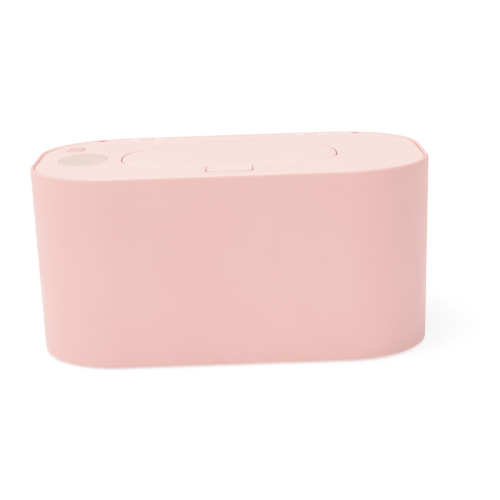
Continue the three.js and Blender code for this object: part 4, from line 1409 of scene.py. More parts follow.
@dataclass
class BasePlate:
    """The plate that closes the shell from below and carries the electronics."""

    plan: Plan
    finish: Finish
    sheet: Pair = (2.5 * MM, 4.9 * MM)
    fillet: float = 0.4 * MM
    pad_radius: float = 4.5 * MM
    foot_recess: float = 1 * MM
    post_radius: float = 3 * MM
    post_top: float = 14.7 * MM
    post_place: Point = (44 * MM, 24 * MM)
    standoff_radius: float = 2.6 * MM
    rib_reach: float = 60 * MM
    rib_thickness: float = 1.4 * MM
    rib_height: float = 3 * MM
    rib_front: float = -34 * MM
    rib_pitch: float = 14 * MM
    vent_size: Triple = (26 * MM, 2 * MM, 0.9 * MM)
    vent_round: float = 0.48
    vent_steps: int = 8
    vent_counts: tuple[int, int] = (2, 5)
    vent_spread: Pair = (44 * MM, 22 * MM)

    def build(self) -> None:
        """Makes the plate and dresses it."""
        edge = self.plan.outline.inside(self.plan.wall + SEAT_GAP)
        solid = soft_loft(edge, *self.sheet, self.fillet, 0.0)
        solid.join(*self.raised(), self.ribs())
        solid.cut(*self.cutters(), self.vents())
        settle(solid.piece("base_tray"), Body.HOUSING, self.finish, "base_plate")

    def raised(self) -> list[Solid]:
        """Makes the screw pads, insulation posts and board standoffs.

        Returns:
            The rods that stand on the plate.
        """
        foot = self.sheet[1] - BITE
        board_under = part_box("control_board")[0].z - SEAT_GAP
        kinds = (
            (self.pad_radius, self.plan.pad_top, self.plan.screw_places),
            (self.post_radius, self.post_top, four_places(*self.post_place)),
            (self.standoff_radius, board_under, places_of("board_screw")),
        )
        return [rod(radius, x, y, foot, top) for radius, top, places in kinds for x, y in places]

    def ribs(self) -> Solid:
        """Repeats a stiffening rib from front to back, up to the board.

        Returns:
            The ribs as one solid.
        """
        reach, top = self.rib_reach, self.sheet[1]
        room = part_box("control_board")[0].y - self.rib_thickness - self.rib_front
        count = math.ceil(room / self.rib_pitch)
        spread = (count - 1) * self.rib_pitch
        rib = box(-reach, reach, 0, self.rib_thickness, top - BITE, top + self.rib_height)
        y = self.rib_front + spread / 2
        return grid_copies("base_ribs", rib, (0, spread), self.finish.material(), (1, count), y)

    def vents(self) -> Solid:
        """Repeats a blind cooling groove over the underside.

        Returns:
            The cutter for all the grooves.
        """
        length, width, depth = self.vent_size
        corner = width * self.vent_round
        groove = loft([rounded_ring(z, length / 2, -width / 2, width / 2, corner, self.vent_steps)
                       for z in (self.sheet[0] - OVERRUN, self.sheet[0] + depth)])
        return grid_copies("base_vents", groove, self.vent_spread, self.finish.material(), self.vent_counts)

    def cutters(self) -> list[Solid]:
        """Makes the cutters for the screw wells, foot seats and board screws.

        Returns:
            The cutters.
        """
        low, high = self.sheet
        plan, under = self.plan, low - OVERRUN
        foot_low, foot_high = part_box("foot_4")
        foot_radius, foot_place = (foot_high.x - foot_low.x) / 2, middle("foot_4")
        kinds = (
            (plan.base_screw.head[0], under, high, plan.screw_places),
            (plan.base_screw.shank, under, plan.pad_top + OVERRUN, plan.screw_places),
            (foot_radius, under, low + self.foot_recess, four_places(foot_place.x, foot_place.y)),
            (plan.small_screw.shank, high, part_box("control_board")[0].z, places_of("board_screw")),
        )
        return [rod(radius + SEAT_GAP, x, y, z0, z1) for radius, z0, z1, places in kinds for x, y in places]


@dataclass
class Fasteners:
    """The feet under the box and the screws of its base and its cover lining."""

    plan: Plan
    steel: Finish
    rubber: Finish
    foot_soft: float = 0.5 * MM
    foot_dimple: float = 0.3 * MM
    dimple_share: float = 0.62
    dimple_floor: float = 0.9

    def build(self) -> None:
        """Makes the feet and the screws by repeating one of each."""
        self.feet()
        base_nodes = [f"base_screw_{i}" for i in range(1, 5)]
        self.screws("base_screws", self.plan.base_screw, Body.HOUSING, *base_nodes)
        for name, first, last in (("front", 1, 2), ("back", 3, 4)):
            nodes = (f"lining_screw_{first}", f"lining_screw_{last}")
            self.screws(f"lining_screws_{name}", self.plan.small_screw, Body.COVER, *nodes)

    def feet(self) -> None:
        """Makes the four feet, each with a soft edge and a shallow dimple."""
        low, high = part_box("foot_4")
        radius, place = (high.x - low.x) / 2, middle("foot_4")
        inner = radius * self.dimple_share
        profile = [(inner * self.dimple_floor, self.foot_dimple), (inner, 0.0)]
        profile += [(radius - inset, rise) for rise, inset in rounding(self.foot_soft)]
        profile.append((radius, high.z))
        foot = lathe(profile, 2 * ROD_STEPS)
        made = grid_copies("feet", foot, (2 * place.x, 2 * place.y), self.rubber.material())
        settle(made.piece("feet"), Body.HOUSING, self.rubber, *(f"foot_{i}" for i in range(1, 5)))

    def screws(self, name: str, screw: Screw, body: Body, *nodes: str) -> None:
        """Repeats a screw at the mirrored places of the last of some CAD screws, and as long as that.

        Args:
            name: The piece's name.
            screw: What is repeated.
            body: The body that the screws ride on.
            nodes: The CAD screws that they replace, two for each row.
        """
        low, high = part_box(nodes[-1])
        place = (low + high) / 2
        rows = len(nodes) // 2
        spread = (2 * place.x, 2 * place.y * (rows - 1))
        y = 0.0 if rows > 1 else place.y
        shape = screw.solid(high.z - low.z).moved(0, 0, low.z)
        made = grid_copies(name, shape, spread, self.steel.material(), (2, rows), y)
        settle(made.piece(name), body, self.steel, *nodes)


@dataclass
class Tank:
    """The open tub that holds the wipes, hung by its flange."""

    plan: Plan
    finish: Finish
    outer: float = 8.3 * MM
    inner: float = 9.9 * MM
    fillet: float = 6 * MM
    flange_inset: float = 2.2 * MM
    flange: Pair = (82.8 * MM, 84.4 * MM)
    flange_soft: float = 0.4 * MM

    def build(self) -> None:
        """Makes the tank and dresses it."""
        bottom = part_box("inner_tank")[0].z
        wall = self.inner - self.outer
        low, high = self.flange
        inside, edge = self.plan.outline.inside, self.flange_soft
        tub = soft_loft(inside(self.outer), bottom, high, self.fillet, 0.0)
        tub.join(soft_loft(inside(self.flange_inset), low, high, edge, edge))
        tub.cut(soft_loft(inside(self.inner), bottom + wall, high, self.fillet - wall, -edge))
        settle(tub.piece("wipe_tub"), Body.HOUSING, self.finish, "inner_tank")


@dataclass
class PowerSocket:
    """The socket at the back: a folded shell, its tongue and the contacts on it."""

    steel: Finish
    plastic: Finish
    wall: float = 0.4 * MM
    tongue: Pair = (3.3 * MM, 0.35 * MM)
    contact: Pair = (0.35 * MM, 0.08 * MM)
    contact_spread: float = 4.8 * MM
    contact_count: int = 5

    def build(self) -> None:
        """Makes the socket's pieces and dresses them."""
        low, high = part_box("power_socket")
        half, z, wall = (high - low) / 2, (low.z + high.z) / 2, self.wall
        shell = tunnel(half.x, half.z, 0, z, low.y, high.y)
        shell.cut(tunnel(half.x - wall, half.z - wall, 0, z, low.y + 2 * wall, high.y + OVERRUN))
        settle(shell.piece("socket_shell"), Body.HOUSING, self.steel, "power_socket")
        x, thick = self.tongue
        front, back = low.y + wall, high.y - 2 * wall
        tongue = box(-x, x, front, back, z - thick, z + thick)
        settle(tongue.piece("socket_tongue"), Body.HOUSING, self.plastic)
        wide, proud = self.contact
        strip = box(-wide, wide, front, back - wall, z, z + thick + proud)
        spread, counts = (self.contact_spread, 0), (self.contact_count, 1)
        strips = grid_copies("socket_contacts", strip, spread, self.steel.material(), counts)
        settle(strips.piece("socket_contacts"), Body.HOUSING, self.steel)


@dataclass
class TopCover:
    """The moulded deck with its skirt, lid well, latch pocket, window seat and hinge knuckles."""

    plan: Plan
    finish: Finish
    side_inset: float = 2.4 * MM
    rear_inset: float = 3.6 * MM
    fillet: float = 0.5 * MM
    mouth_soft: float = 0.25 * MM
    skirt_thickness: float = 1.8 * MM
    skirt_bottom: float = 86.5 * MM
    well_wall: float = 1.6 * MM
    well_floor: Pair = (88.8 * MM, 90.4 * MM)
    tab_gap: float = 0.6 * MM
    slit_length: float = 6.5 * MM
    slit_trim: Pair = (0.15 * MM, 0.45 * MM)
    pocket_floor: Pair = (88.4 * MM, 89.4 * MM)
    pocket_wall: float = 1.2 * MM
    hinge_pocket_floor: float = 1 * MM
    window_ledge: float = 1.6 * MM
    window_gap: float = 0.06 * MM
    key_gap: float = 0.12 * MM
    seat_soft: float = 0.12 * MM
    post_radius: float = 1.8 * MM
    boss_radius: float = 2.4 * MM
    boss_bottom: float = 88.2 * MM

    def build(self) -> None:
        """Makes the cover and dresses it."""
        plan = self.plan
        edge = plan.outline.inside(self.side_inset, self.rear_inset)
        solid = soft_loft(edge, plan.deck_under, plan.deck_top, 0.0, self.fillet)
        solid.join(self.skirt(), *self.knuckles(), *self.hangers())
        solid.cut(*self.lid_cuts(), *self.latch_cuts(), *self.seats(), *self.notches())
        solid.cut(*plan.cover_bores(), plan.lid_bore(), *self.screw_bores())
        settle(solid.piece("deck_cover"), Body.COVER, self.finish, "top_cover")

    def skirt(self) -> Solid:
        """Makes the skirt that hangs inside the rim.

        Returns:
            The skirt.
        """
        plan, low = self.plan, self.skirt_bottom
        ring, under = plan.outline.inside(*plan.skirt_insets), plan.deck_under
        outer = loft([ring(z, 0.0) for z in (low, under + BITE)])
        return outer.cut(loft([ring(z, self.skirt_thickness) for z in (low - OVERRUN, under)]))

    def knuckles(self) -> list[Solid]:
        """Makes two hinge knuckles beside each of the shell's ears.

        Returns:
            The four knuckles.
        """
        plan = self.plan
        hinge = plan.hinges["cover_hinge"]
        near = plan.ear_width / 2 + SLIDE_GAP
        far = near + plan.cover_knuckle_length
        spans = [sorted((ear + side * near, ear + side * far)) for ear in plan.ears_x for side in (-1, 1)]
        return [bar(plan.knuckle_radius, *span, hinge.y, hinge.z) for span in spans]

    def hangers(self) -> list[Solid]:
        """Makes all that hangs from the deck: well, collar, latch pocket, lid hinge, posts and bosses.

        Returns:
            The solids that are joined to the deck.
        """
        plan = self.plan
        top = plan.deck_under + BITE
        well = loft([plan.oval.ring(z, plan.lid_gap + self.well_wall) for z in (self.well_floor[0], top)])
        collar_ends = (self.skirt_bottom, self.well_floor[0] + BITE)
        collar = loft([plan.dispense_ring(z, plan.collar_wall) for z in collar_ends])
        half_x = plan.tab_half + plan.tab_lug + SLIDE_GAP + self.pocket_wall
        front = plan.tab_ends[0] - self.tab_gap - self.pocket_wall
        pocket = box(-half_x, half_x, front, plan.oval.front, self.pocket_floor[0], top)
        return [well, collar, pocket, *self.lid_hinge(top), *self.posts(top)]

    def lid_hinge(self, top: float) -> list[Solid]:
        """Makes the closed pocket behind the lid's knuckle and the ears beside it.

        Args:
            top: How high they reach into the deck.

        Returns:
            The pocket and ears.
        """
        plan = self.plan
        hinge = plan.hinges["lid_hinge"]
        half_x = plan.lid_tongue / 2 + SLIDE_GAP
        reach = plan.knuckle_radius + SLIDE_GAP
        back = hinge.y + reach + self.pocket_wall
        side = half_x + self.pocket_wall
        far = half_x + plan.lid_ear_length
        return [
            box(-side, side, plan.oval.rear, back, hinge.z - reach - self.hinge_pocket_floor, top),
            bar(plan.knuckle_radius, -far, -half_x, hinge.y, hinge.z),
            bar(plan.knuckle_radius, half_x, far, hinge.y, hinge.z),
        ]

    def posts(self, top: float) -> list[Solid]:
        """Makes the posts that press on the display board, and the lining's screw bosses.

        Args:
            top: How high they reach into the deck.

        Returns:
            The posts and bosses.
        """
        window = middle("display_window")
        low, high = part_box("display_window")
        x = (high.x - low.x) / 2 - self.window_ledge / 2
        y = (high.y - low.y) / 2 - self.window_ledge
        beside = [(window.x + px, window.y + py) for px, py in four_places(x, y)]
        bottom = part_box("display_board")[1].z + SEAT_GAP
        made = [rod(self.post_radius, *place, bottom, top) for place in beside]
        made += [rod(self.boss_radius, *place, self.boss_bottom, top) for place in places_of("lining_screw")]
        return made

    def screw_bores(self) -> list[Solid]:
        """Makes the cutters for the lining's screws.

        Returns:
            The cutters.
        """
        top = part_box("lining_screw_1")[1].z + SEAT_GAP
        radius = self.plan.small_screw.shank + SEAT_GAP
        under = self.skirt_bottom - OVERRUN
        return [rod(radius, *place, under, top) for place in places_of("lining_screw")]

    def lid_cuts(self) -> list[Solid]:
        """Makes the cutters for the lid's well, the dispensing opening and the hinge gap.

        Returns:
            The cutters.
        """
        plan = self.plan
        hinge = plan.hinges["lid_hinge"]
        reach = plan.knuckle_radius + SLIDE_GAP
        half_x = plan.lid_tongue / 2 + SLIDE_GAP

        def well(z: float, inset: float) -> Ring:
            """Draws the well's edge."""
            return plan.oval.ring(z, plan.lid_gap - plan.snug - inset)

        def opening(z: float, inset: float) -> Ring:
            """Draws the dispensing opening's edge."""
            return plan.dispense_ring(z, -inset)

        mouth = soft_loft(well, self.well_floor[1], plan.deck_top, 0.0, -self.mouth_soft)
        hole = soft_loft(opening, self.skirt_bottom - OVERRUN, self.well_floor[1], 0.0, -2 * self.mouth_soft)
        slot = plan.lid_tongue / 2 + plan.snug + plan.hairline
        lip = plan.deck_top - plan.hinge_lip
        swing = math.hypot(plan.tongue_overhang, plan.deck_top - hinge.z) + plan.hairline
        gap = box(-slot, slot, plan.oval.centre_y, hinge.y + reach, lip - plan.hairline, plan.above)
        room = box(-half_x, half_x, plan.oval.centre_y, hinge.y + swing, hinge.z - reach - plan.hairline, lip)
        return [mouth, hole, gap, room]

    def latch_cuts(self) -> list[Solid]:
        """Makes the cutters for the latch button's pocket.

        Returns:
            The cutters.
        """
        plan, gap = self.plan, self.tab_gap
        front, rear = plan.tab_ends[0] - gap, plan.tab_ends[1] - plan.tab_skin
        half_x, corner = plan.tab_half + gap, plan.tab_corner + gap
        lug_room = plan.tab_half + plan.tab_lug + SLIDE_GAP

        def pocket(trim: float, back: float) -> RingAt:
            """Gives the pocket's edge.

            Args:
                trim: How far its sides are drawn in.
                back: Where it ends.

            Returns:
                What draws the edge at a height and an inset.
            """
            return lambda z, inset: rounded_ring(
                z, half_x - trim - inset, front + plan.snug + inset, back, corner - inset, FILLET_STEPS
            )

        floor = self.pocket_floor[1]
        soft = -self.mouth_soft
        return [
            soft_loft(pocket(self.slit_trim[0], front + self.slit_length), floor, plan.deck_top, 0.0, soft),
            soft_loft(pocket(self.slit_trim[1], plan.oval.front), floor, plan.deck_top, 0.0, soft / 2),
            box(-lug_room, lug_room, front, rear, floor, plan.deck_under),
        ]

    def seats(self) -> list[Solid]:
        """Makes the cutters for the display window's seat and the power key's hole.

        Returns:
            The cutters.
        """
        plan, soft = self.plan, -self.seat_soft
        floor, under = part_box("display_window")[0].z - SEAT_GAP, plan.deck_under - OVERRUN

        def lens(z: float, inset: float) -> Ring:
            """Draws the lens recess's edge."""
            return plan.window_ring(z, self.window_gap - inset)

        def key_hole(z: float, inset: float) -> Ring:
            """Draws the key hole's edge."""
            return plan.key_ring(z, self.key_gap - inset)

        return [
            soft_loft(lens, floor, plan.deck_top, 0.0, soft),
            loft([plan.window_ring(z, -self.window_ledge) for z in (under, plan.above)]),
            soft_loft(key_hole, under, plan.deck_top, 0.0, soft),
        ]

    def notches(self) -> list[Solid]:
        """Makes the cutters that clear the shell's hinge ears.

        Returns:
            The cutters.
        """
        plan = self.plan
        half = plan.ear_width / 2 + SLIDE_GAP
        front = plan.hinges["cover_hinge"].y - plan.knuckle_radius - SLIDE_GAP
        back = plan.outline.high.y
        return [box(x - half, x + half, front, back, self.skirt_bottom, plan.above) for x in plan.ears_x]


@dataclass
class CoverLining:
    """The sheet that closes the cover from below, and the seal under it."""

    plan: Plan
    plastic: Finish
    rubber: Finish
    insets: Pair = (5.6 * MM, 9.2 * MM)
    soft: float = 0.3 * MM
    seal_width: float = 2.4 * MM
    seal_lips: int = 2
    lip_steps: int = 12
    lip_share: float = 0.25

    def build(self) -> None:
        """Makes the lining and the seal and dresses them."""
        plan = self.plan
        low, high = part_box("cover_lining")
        ends = (low.z - OVERRUN, high.z + OVERRUN)
        sheet = soft_loft(plan.outline.inside(*self.insets), low.z, high.z, self.soft, 0.0)
        opening = loft([plan.dispense_ring(z, plan.collar_wall + SEAT_GAP) for z in ends])
        radius = plan.small_screw.shank + SEAT_GAP
        holes = [rod(radius, *place, *ends) for place in places_of("lining_screw")]
        settle(sheet.cut(opening, *holes).piece("lining_sheet"), Body.COVER, self.plastic, "cover_lining")
        self.seal()

    def seal(self) -> None:
        """Makes the tank's seal, with lips that press on the flange."""
        low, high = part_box("tank_seal")
        depth = (high.z - low.z) * self.lip_share
        steps = self.seal_lips * self.lip_steps
        section = [(0.0, high.z), (self.seal_width, high.z)]
        for step in range(steps + 1):
            place = 1 - step / steps
            bulge = abs(math.sin(place * self.seal_lips * math.pi))
            section.append((place * self.seal_width, low.z + depth * (1 - bulge)))
        ring = self.plan.outline.inside(*self.plan.skirt_insets)
        loops = [ring(z, inset).loop() for inset, z in section]
        settle(skin(loops, joined=True).piece("tub_seal"), Body.COVER, self.rubber, "tank_seal")


@dataclass
class FlipLid:
    """The crowned oval lid with its knuckle, its catch and the gasket under it."""

    plan: Plan
    finish: Finish
    rubber: Finish
    thickness: float = 2 * MM
    fillet: float = 0.5 * MM
    crown: float = 0.3 * MM
    crown_steps: int = 14
    tongue_start: float = 0.9
    catch_thickness: float = 1.6 * MM
    catch_depth: float = 2.1 * MM
    nose_reach: float = 0.9 * MM
    gasket_clear: float = 2.5 * MM
    gasket_width: float = 3 * MM
    gasket_root: float = 0.35
    gasket_steps: int = 16

    def build(self) -> None:
        """Makes the lid and the gasket and dresses them."""
        plan = self.plan
        ring, under = plan.oval.ring, plan.deck_top - self.thickness
        top = domed(ring, plan.deck_top, plan.snug, self.fillet, self.crown, self.crown_steps)
        lid = loft([ring(under, plan.snug), *top]).join(*self.hinge(under), *self.catch(under))
        reach = plan.lid_tongue / 2 + OVERRUN
        hinge = plan.hinges["lid_hinge"]
        lid.cut(bar(plan.pin_radius + SEAT_GAP, -reach, reach, hinge.y, hinge.z))
        settle(lid.piece("oval_lid"), Body.LID, self.finish, "flip_lid")
        self.gasket()

    def hinge(self, under: float) -> list[Solid]:
        """Makes the tongue behind the lid and the knuckle at its end.

        Args:
            under: The lid's underside.

        Returns:
            The tongue and the knuckle.
        """
        plan = self.plan
        hinge = plan.hinges["lid_hinge"]
        half = plan.lid_tongue / 2
        wide = half + plan.snug
        start = plan.oval.centre_y + (plan.oval.rear - plan.oval.centre_y) * self.tongue_start
        tongue = box(-wide, wide, start, hinge.y + plan.tongue_overhang, under, plan.deck_top)
        return [tongue, bar(plan.knuckle_radius, -half, half, hinge.y, hinge.z)]

    def catch(self, under: float) -> list[Solid]:
        """Makes the catch under the front edge, which ends in a nose.

        Args:
            under: The lid's underside.

        Returns:
            The catch and its nose.
        """
        half = self.plan.nose_half
        front = self.plan.oval.front + self.plan.lid_gap + SEAT_GAP
        bottom = under - self.catch_depth
        return [
            box(-half, half, front, front + self.catch_thickness, bottom, under + BITE),
            box(-half, half, front - self.nose_reach, front + BITE, bottom, bottom + self.plan.nose_height),
        ]

    def gasket(self) -> None:
        """Makes the gasket, a ring with a round lower edge."""
        low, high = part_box("lid_gasket")
        half, height, root = self.gasket_width / 2, high.z - low.z, self.gasket_root
        section = [(0.0, high.z)]
        for step in range(self.gasket_steps + 1):
            angle = math.pi * step / self.gasket_steps
            depth = height * (root + (1 - root) * math.sin(angle))
            section.append((half - half * math.cos(angle), high.z - depth))
        section.append((self.gasket_width, high.z))
        loops = [self.plan.dispense_ring(z, self.gasket_clear + grow).loop() for grow, z in section]
        settle(skin(loops, joined=True).piece("lid_ring_gasket"), Body.LID, self.rubber, "lid_gasket")


@dataclass
class LatchButton:
    """The tab in front of the lid: a hollow cap with a finger dip, and the spring under it."""

    plan: Plan
    finish: Finish
    steel: Finish
    ceiling: float = 93.35 * MM
    lug_height: float = 1.2 * MM
    edge_soft: float = 0.3 * MM
    lip_rise: float = 0.4 * MM
    dip: float = 0.5 * MM
    ease: float = 0.5
    top_steps: int = 22
    corner_steps: int = 4
    side_steps: int = 20
    coil_radius: float = 2.6 * MM
    coil_turns: float = 3
    coil_steps: int = 48
    wire_radius: float = 0.25 * MM
    wire_steps: int = 12
    profile: tuple[Point, ...] = (
        (0, -0.3), (0.04, 0), (0.2, -0.25), (0.4, -0.8), (0.55, -1),
        (0.7, -0.7), (0.82, 0), (0.9, 0.8), (0.96, 1), (1, 0.5),
    )

    def build(self) -> None:
        """Makes the button and its spring and dresses them."""
        low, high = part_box("latch_button")
        loops = [self.loop(low.z, 0.0, 1.0)]
        loops += [self.loop(None, inset, 1.0, drop) for inset, drop in rounding(self.edge_soft)]
        shares = [1 - step / self.top_steps for step in range(1, self.top_steps)]
        loops += [self.loop(None, self.edge_soft, share) for share in shares]
        hollow = self.outline(self.plan.tab_skin)
        cap = skin(loops)
        cap.cut(loft([Ring(z, hollow.points) for z in (low.z - OVERRUN, self.ceiling)]))
        cap.join(*self.lugs(low.z), self.nose(high.y))
        settle(cap.piece("latch_tab"), Body.LATCH, self.finish, "latch_button")
        self.spring()

    def lugs(self, bottom: float) -> list[Solid]:
        """Makes the lugs that hold the button in, one at each end.

        Args:
            bottom: Their lowest level.

        Returns:
            The two lugs.
        """
        plan = self.plan
        front, rear = plan.tab_ends
        mid, quarter = (front + rear) / 2, (rear - front) / 4
        near, far = plan.tab_half - plan.tab_skin / 2, plan.tab_half + plan.tab_lug
        spans = [sorted((side * near, side * far)) for side in (-1, 1)]
        return [box(*span, mid - quarter, mid + quarter, bottom, bottom + self.lug_height) for span in spans]

    def nose(self, back: float) -> Solid:
        """Makes the nose that holds the lid's catch down.

        Args:
            back: Where it ends.

        Returns:
            The nose.
        """
        plan = self.plan
        half, top = plan.nose_half, plan.deck_under - SEAT_GAP
        return box(-half, half, plan.tab_ends[1] - BITE, back, top - plan.nose_height, top)

    def outline(self, inset: float) -> Ring:
        """Draws the button's plan outline, with its long sides cut into short steps.

        Args:
            inset: How far it is drawn in.

        Returns:
            The ring.
        """
        plan, steps = self.plan, self.corner_steps
        front, rear = plan.tab_ends
        corner = max(plan.tab_corner - inset, plan.tab_corner / 2)
        ring = rounded_ring(0, plan.tab_half - inset, front + inset, rear - inset, corner, steps)
        points: list[Point] = []
        for i, (x, y) in enumerate(ring.points):
            points.append((x, y))
            if i % (steps + 1) == steps:
                next_x, next_y = ring.points[(i + 1) % len(ring.points)]
                shares = [step / self.side_steps for step in range(1, self.side_steps)]
                points += [(x + (next_x - x) * share, y + (next_y - y) * share) for share in shares]
        return Ring(0, tuple(points))

    def loop(self, z: float | None, inset: float, scale: float, drop: float = 0.0) -> list[Vector]:
        """Draws one loop of the cap.

        Args:
            z: Its height, or None to follow the dipped top.
            inset: How far it is drawn in.
            scale: Its share of the full size, about the button's middle.
            drop: How far below the top it lies.

        Returns:
            The loop's points.
        """
        mid = sum(self.plan.tab_ends) / 2
        made = []
        for x, y in self.outline(inset).points:
            place_y = mid + (y - mid) * scale
            made.append(Vector((x * scale, place_y, self.top_at(place_y) - drop if z is None else z)))
        return made

    def top_at(self, y: float) -> float:
        """Finds the height of the dipped top.

        Args:
            y: The place.

        Returns:
            The height there.
        """
        front, rear = self.plan.tab_ends
        place = min(max((rear - y) / (rear - front), 0.0), 1.0)
        for (p0, r0), (p1, r1) in zip(self.profile, self.profile[1:]):
            if place <= p1:
                share = (place - p0) / (p1 - p0)
                eased = share * share * (3 - 2 * share)
                rise = r0 + (r1 - r0) * ((1 - self.ease) * share + self.ease * eased)
                return self.plan.deck_top + rise * (self.lip_rise if rise > 0 else self.dip)
        return self.plan.deck_top

    def spring(self) -> None:
        """Winds the spring with a node tree."""
        low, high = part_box("latch_spring")
        mid = middle("latch_spring")
        tree = NodeTree("latch_coil")
        radius = tree.value("Coil Radius", self.coil_radius)
        coil = tree.node("CurveSpiral", {
            "Resolution": tree.value("Steps per Turn", self.coil_steps, "Int"),
            "Rotations": tree.value("Turns", self.coil_turns),
            "Start Radius": radius,
            "End Radius": radius,
            "Height": tree.value("Height", high.z - low.z - 2 * self.wire_radius),
        })
        wire = tree.node("CurvePrimitiveCircle", {
            "Resolution": tree.value("Wire Steps", self.wire_steps, "Int"),
            "Radius": tree.value("Wire Radius", self.wire_radius),
        }, mode="RADIUS")
        wound = tree.node("CurveToMesh", {"Curve": coil, "Profile Curve": wire, "Fill Caps": True})
        foot = tree.value("Foot", (0.0, mid.y, low.z + self.wire_radius), "Vector")
        placed = tree.node("Transform", {"Geometry": wound, "Translation": foot})
        piece = tree.run(placed, self.steel.material()).piece("latch_coil")
        settle(piece, Body.COVER, self.steel, "latch_spring")
        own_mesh(piece)


@dataclass
class Controls:
    """The display window and the power key at the left of the deck."""

    plan: Plan
    lens: Finish
    key: Finish
    lens_fillet: float = 0.12 * MM
    lens_crown: float = 0.1 * MM
    lens_proud: float = 0.15 * MM
    lens_steps: int = 10
    key_fillet: float = 0.25 * MM
    flange_thickness: float = 0.8 * MM

    def build(self) -> None:
        """Makes the window and the key and dresses them."""
        ring, crown = self.plan.window_ring, self.lens_crown
        low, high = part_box("display_window")
        top = domed(ring, high.z + self.lens_proud - crown, 0.0, self.lens_fillet, crown, self.lens_steps)
        lens = loft([ring(low.z, 0.0), *top])
        settle(lens.piece("display_lens"), Body.COVER, self.lens, "display_window")
        self.build_key()

    def build_key(self) -> None:
        """Makes the key: a soft cap on the flange that holds it in."""
        ring, flange = self.plan.key_ring, self.plan.key_flange
        low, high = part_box("power_key")
        flange_top = low.z + self.flange_thickness

        def edge(z: float, inset: float) -> Ring:
            """Draws the cap's edge."""
            return ring(z, -inset)

        cap = soft_loft(edge, flange_top - self.flange_thickness / 2, high.z, 0.0, self.key_fillet)
        cap.join(loft([ring(z, flange) for z in (low.z, flange_top)]))
        settle(cap.piece("power_cap"), Body.KEY, self.key, "power_key")


@dataclass
class Pins:
    """The steel pins of the cover's and the lid's hinges."""

    steel: Finish
    soft: float = 0.15 * MM

    def build(self) -> None:
        """Makes the three pins and dresses them."""
        homes = {"cover_pin_left": Body.HOUSING, "cover_pin_right": Body.HOUSING, "lid_pin": Body.COVER}
        for node, body in homes.items():
            low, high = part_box(node)
            mid = (low + high) / 2
            pin = bar((high.z - low.z) / 2, low.x, high.x, mid.y, mid.z, self.soft)
            settle(pin.piece(f"{node}_rod"), body, self.steel, node)


@dataclass
class InnerParts:
    """The CAD nodes that stay as they are, such as the board, the heater and their small parts."""

    palette: Palette

    def build(self) -> None:
        """Gives each of them the finish of its material slot."""
        finishes = {finish.slot: finish for finish in vars(self.palette).values()}
        for name, node in frame["nodes"].items():
            if node.hide_render:
                continue
            for place in node.material_slots:
                slot = place.material.name.split(".")[0]
                place.material = finishes[slot].material()
                LOG.info("%s: %s", name, slot)


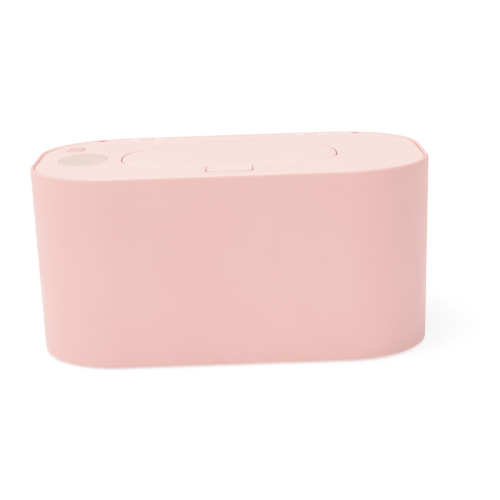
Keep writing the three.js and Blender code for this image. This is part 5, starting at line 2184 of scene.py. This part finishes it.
@dataclass
class Studio:
    """The plain pale floor, the soft light and the camera at the photograph's angle."""

    azimuth: float = 0.24
    elevation: float = 12.76
    roll: float = -2.02
    distance: float = 686.45 * MM
    target_z: float = 61.5 * MM
    focal: float = 1319
    axis_pixel: Point = (231.4, 217.35)
    picture: float = 500
    sensor: float = 36
    floor_reach: float = 9
    floor_glow: float = 0.55
    paper: Colour = (202, 202, 202)
    paper_fade: Colour = (205, 205, 205)
    paper_drift: float = 0.4
    sky: float = 0.36
    sun: float = 4.35
    sun_place: Triple = (-0.15, -0.1, 1)
    sun_width: float = 50
    fill: float = 3.5
    fill_place: Triple = (-1.1, -1.2, 0.7)
    fill_size: float = 1.2
    white: float = 2
    shoulder: tuple[Point, ...] = ((0, 0), (0.82, 0.82), (0.96, 0.9), (1.25, 0.95), (1.4, 1), (2, 1))

    def build(self) -> None:
        """Sets the floor, the lights, the world and the camera."""
        self.place_floor()
        self.place_lights()
        self.place_camera()

    def place_floor(self) -> None:
        """Lays a matte white floor."""
        reach = self.floor_reach
        corners = [(-reach, -reach, 0), (reach, -reach, 0), (reach, reach, 0), (-reach, reach, 0)]
        mesh = bpy.data.meshes.new("studio_floor")
        mesh.from_pydata(corners, [], [range(len(corners))])
        floor = bpy.data.objects.new("studio_floor", mesh)
        bpy.context.scene.collection.objects.link(floor)
        paper = Shader("studio_paper")
        paper.tint(paper.noise(self.paper_drift), self.paper, self.paper_fade)
        paper.fix(Roughness=0.9, Specular_IOR_Level=0.1)
        paper.fix(Emission_Color=(1, 1, 1, 1), Emission_Strength=self.floor_glow)
        mesh.materials.append(paper.material)

    def light(self, name: str, kind: str, energy: float, place: Vector) -> bpy.types.Light:
        """Adds a light that looks at the object.

        Args:
            name: The light's name.
            kind: Its kind, such as SUN or AREA.
            energy: Its strength.
            place: Where it stands.

        Returns:
            The light.
        """
        data = bpy.data.lights.new(name, kind)
        data.energy = energy
        lamp = bpy.data.objects.new(name, data)
        lamp.matrix_world = Matrix.Translation(place) @ place.to_track_quat("Z", "Y").to_matrix().to_4x4()
        bpy.context.scene.collection.objects.link(lamp)
        return data

    def place_lights(self) -> None:
        """Lights the object broadly from above, with a large soft light at the front left."""
        scene = bpy.context.scene
        scene.view_settings.view_transform = "Standard"
        self.soften_highlights(scene.view_settings)
        world = bpy.data.worlds.new("studio_sky")
        world.use_nodes = True
        sky = world.node_tree.nodes["Background"].inputs
        sky["Color"].default_value = (1, 1, 1, 1)
        sky["Strength"].default_value = self.sky
        scene.world = world
        sun = self.light("overhead", "SUN", self.sun, Vector(self.sun_place))
        sun.angle = math.radians(self.sun_width)
        fill = self.light("front_left", "AREA", self.fill, Vector(self.fill_place))
        fill.shape = "DISK"
        fill.size = self.fill_size

    def soften_highlights(self, settings: bpy.types.ColorManagedViewSettings) -> None:
        """Rolls bright values off softly, as the photograph does, with white at the floor's level.

        Args:
            settings: The scene's view settings.
        """
        settings.use_curve_mapping = True
        mapping = settings.curve_mapping
        mapping.white_level = (self.white, self.white, self.white)
        curve = mapping.curves[-1]
        first, *middle_points, last = self.shoulder
        curve.points[0].location = (first[0] / self.white, first[1])
        curve.points[1].location = (last[0] / self.white, last[1])
        for value, shown in middle_points:
            curve.points.new(value / self.white, shown)
        for point in curve.points:
            point.handle_type = "VECTOR"
        mapping.update()

    def place_camera(self) -> None:
        """Sets the camera where the photograph was taken from."""
        azimuth, elevation, roll = (math.radians(a) for a in (self.azimuth, self.elevation, self.roll))
        flat = Vector((math.sin(azimuth), -math.cos(azimuth), 0))
        back = flat * math.cos(elevation) + Vector((0, 0, math.sin(elevation)))
        level = Vector((math.cos(azimuth), math.sin(azimuth), 0))
        rise = back.cross(level)
        right = level * math.cos(roll) + rise * math.sin(roll)
        up = back.cross(right)
        data = bpy.data.cameras.new("photo_camera")
        data.sensor_width = self.sensor
        data.lens = self.focal / self.picture * self.sensor
        data.shift_x = 0.5 - self.axis_pixel[0] / self.picture
        data.shift_y = self.axis_pixel[1] / self.picture - 0.5
        camera = bpy.data.objects.new("photo_camera", data)
        turn = Matrix((right, up, back)).transposed().to_4x4()
        camera.matrix_world = Matrix.Translation(Vector((0, 0, self.target_z)) + back * self.distance) @ turn
        bpy.context.scene.collection.objects.link(camera)
        bpy.context.scene.camera = camera


def main() -> None:
    """Builds and dresses the wipe warmer, then its studio."""
    logging.basicConfig(level=logging.INFO, format="%(message)s")
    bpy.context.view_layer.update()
    plan = Plan.of_frame()
    palette = Palette()
    assemblies = (
        OuterShell(plan, palette.shell),
        BasePlate(plan, palette.shell),
        Fasteners(plan, palette.steel, palette.rubber),
        Tank(plan, palette.white),
        PowerSocket(palette.steel, palette.black),
        TopCover(plan, palette.deck),
        CoverLining(plan, palette.white, palette.silicone),
        FlipLid(plan, palette.deck, palette.silicone),
        LatchButton(plan, palette.deck, palette.steel),
        Controls(plan, palette.window, palette.key),
        Pins(palette.steel),
        InnerParts(palette),
        Studio(),
    )
    for assembly in assemblies:
        assembly.build()


if __name__ == "__main__":
    main()
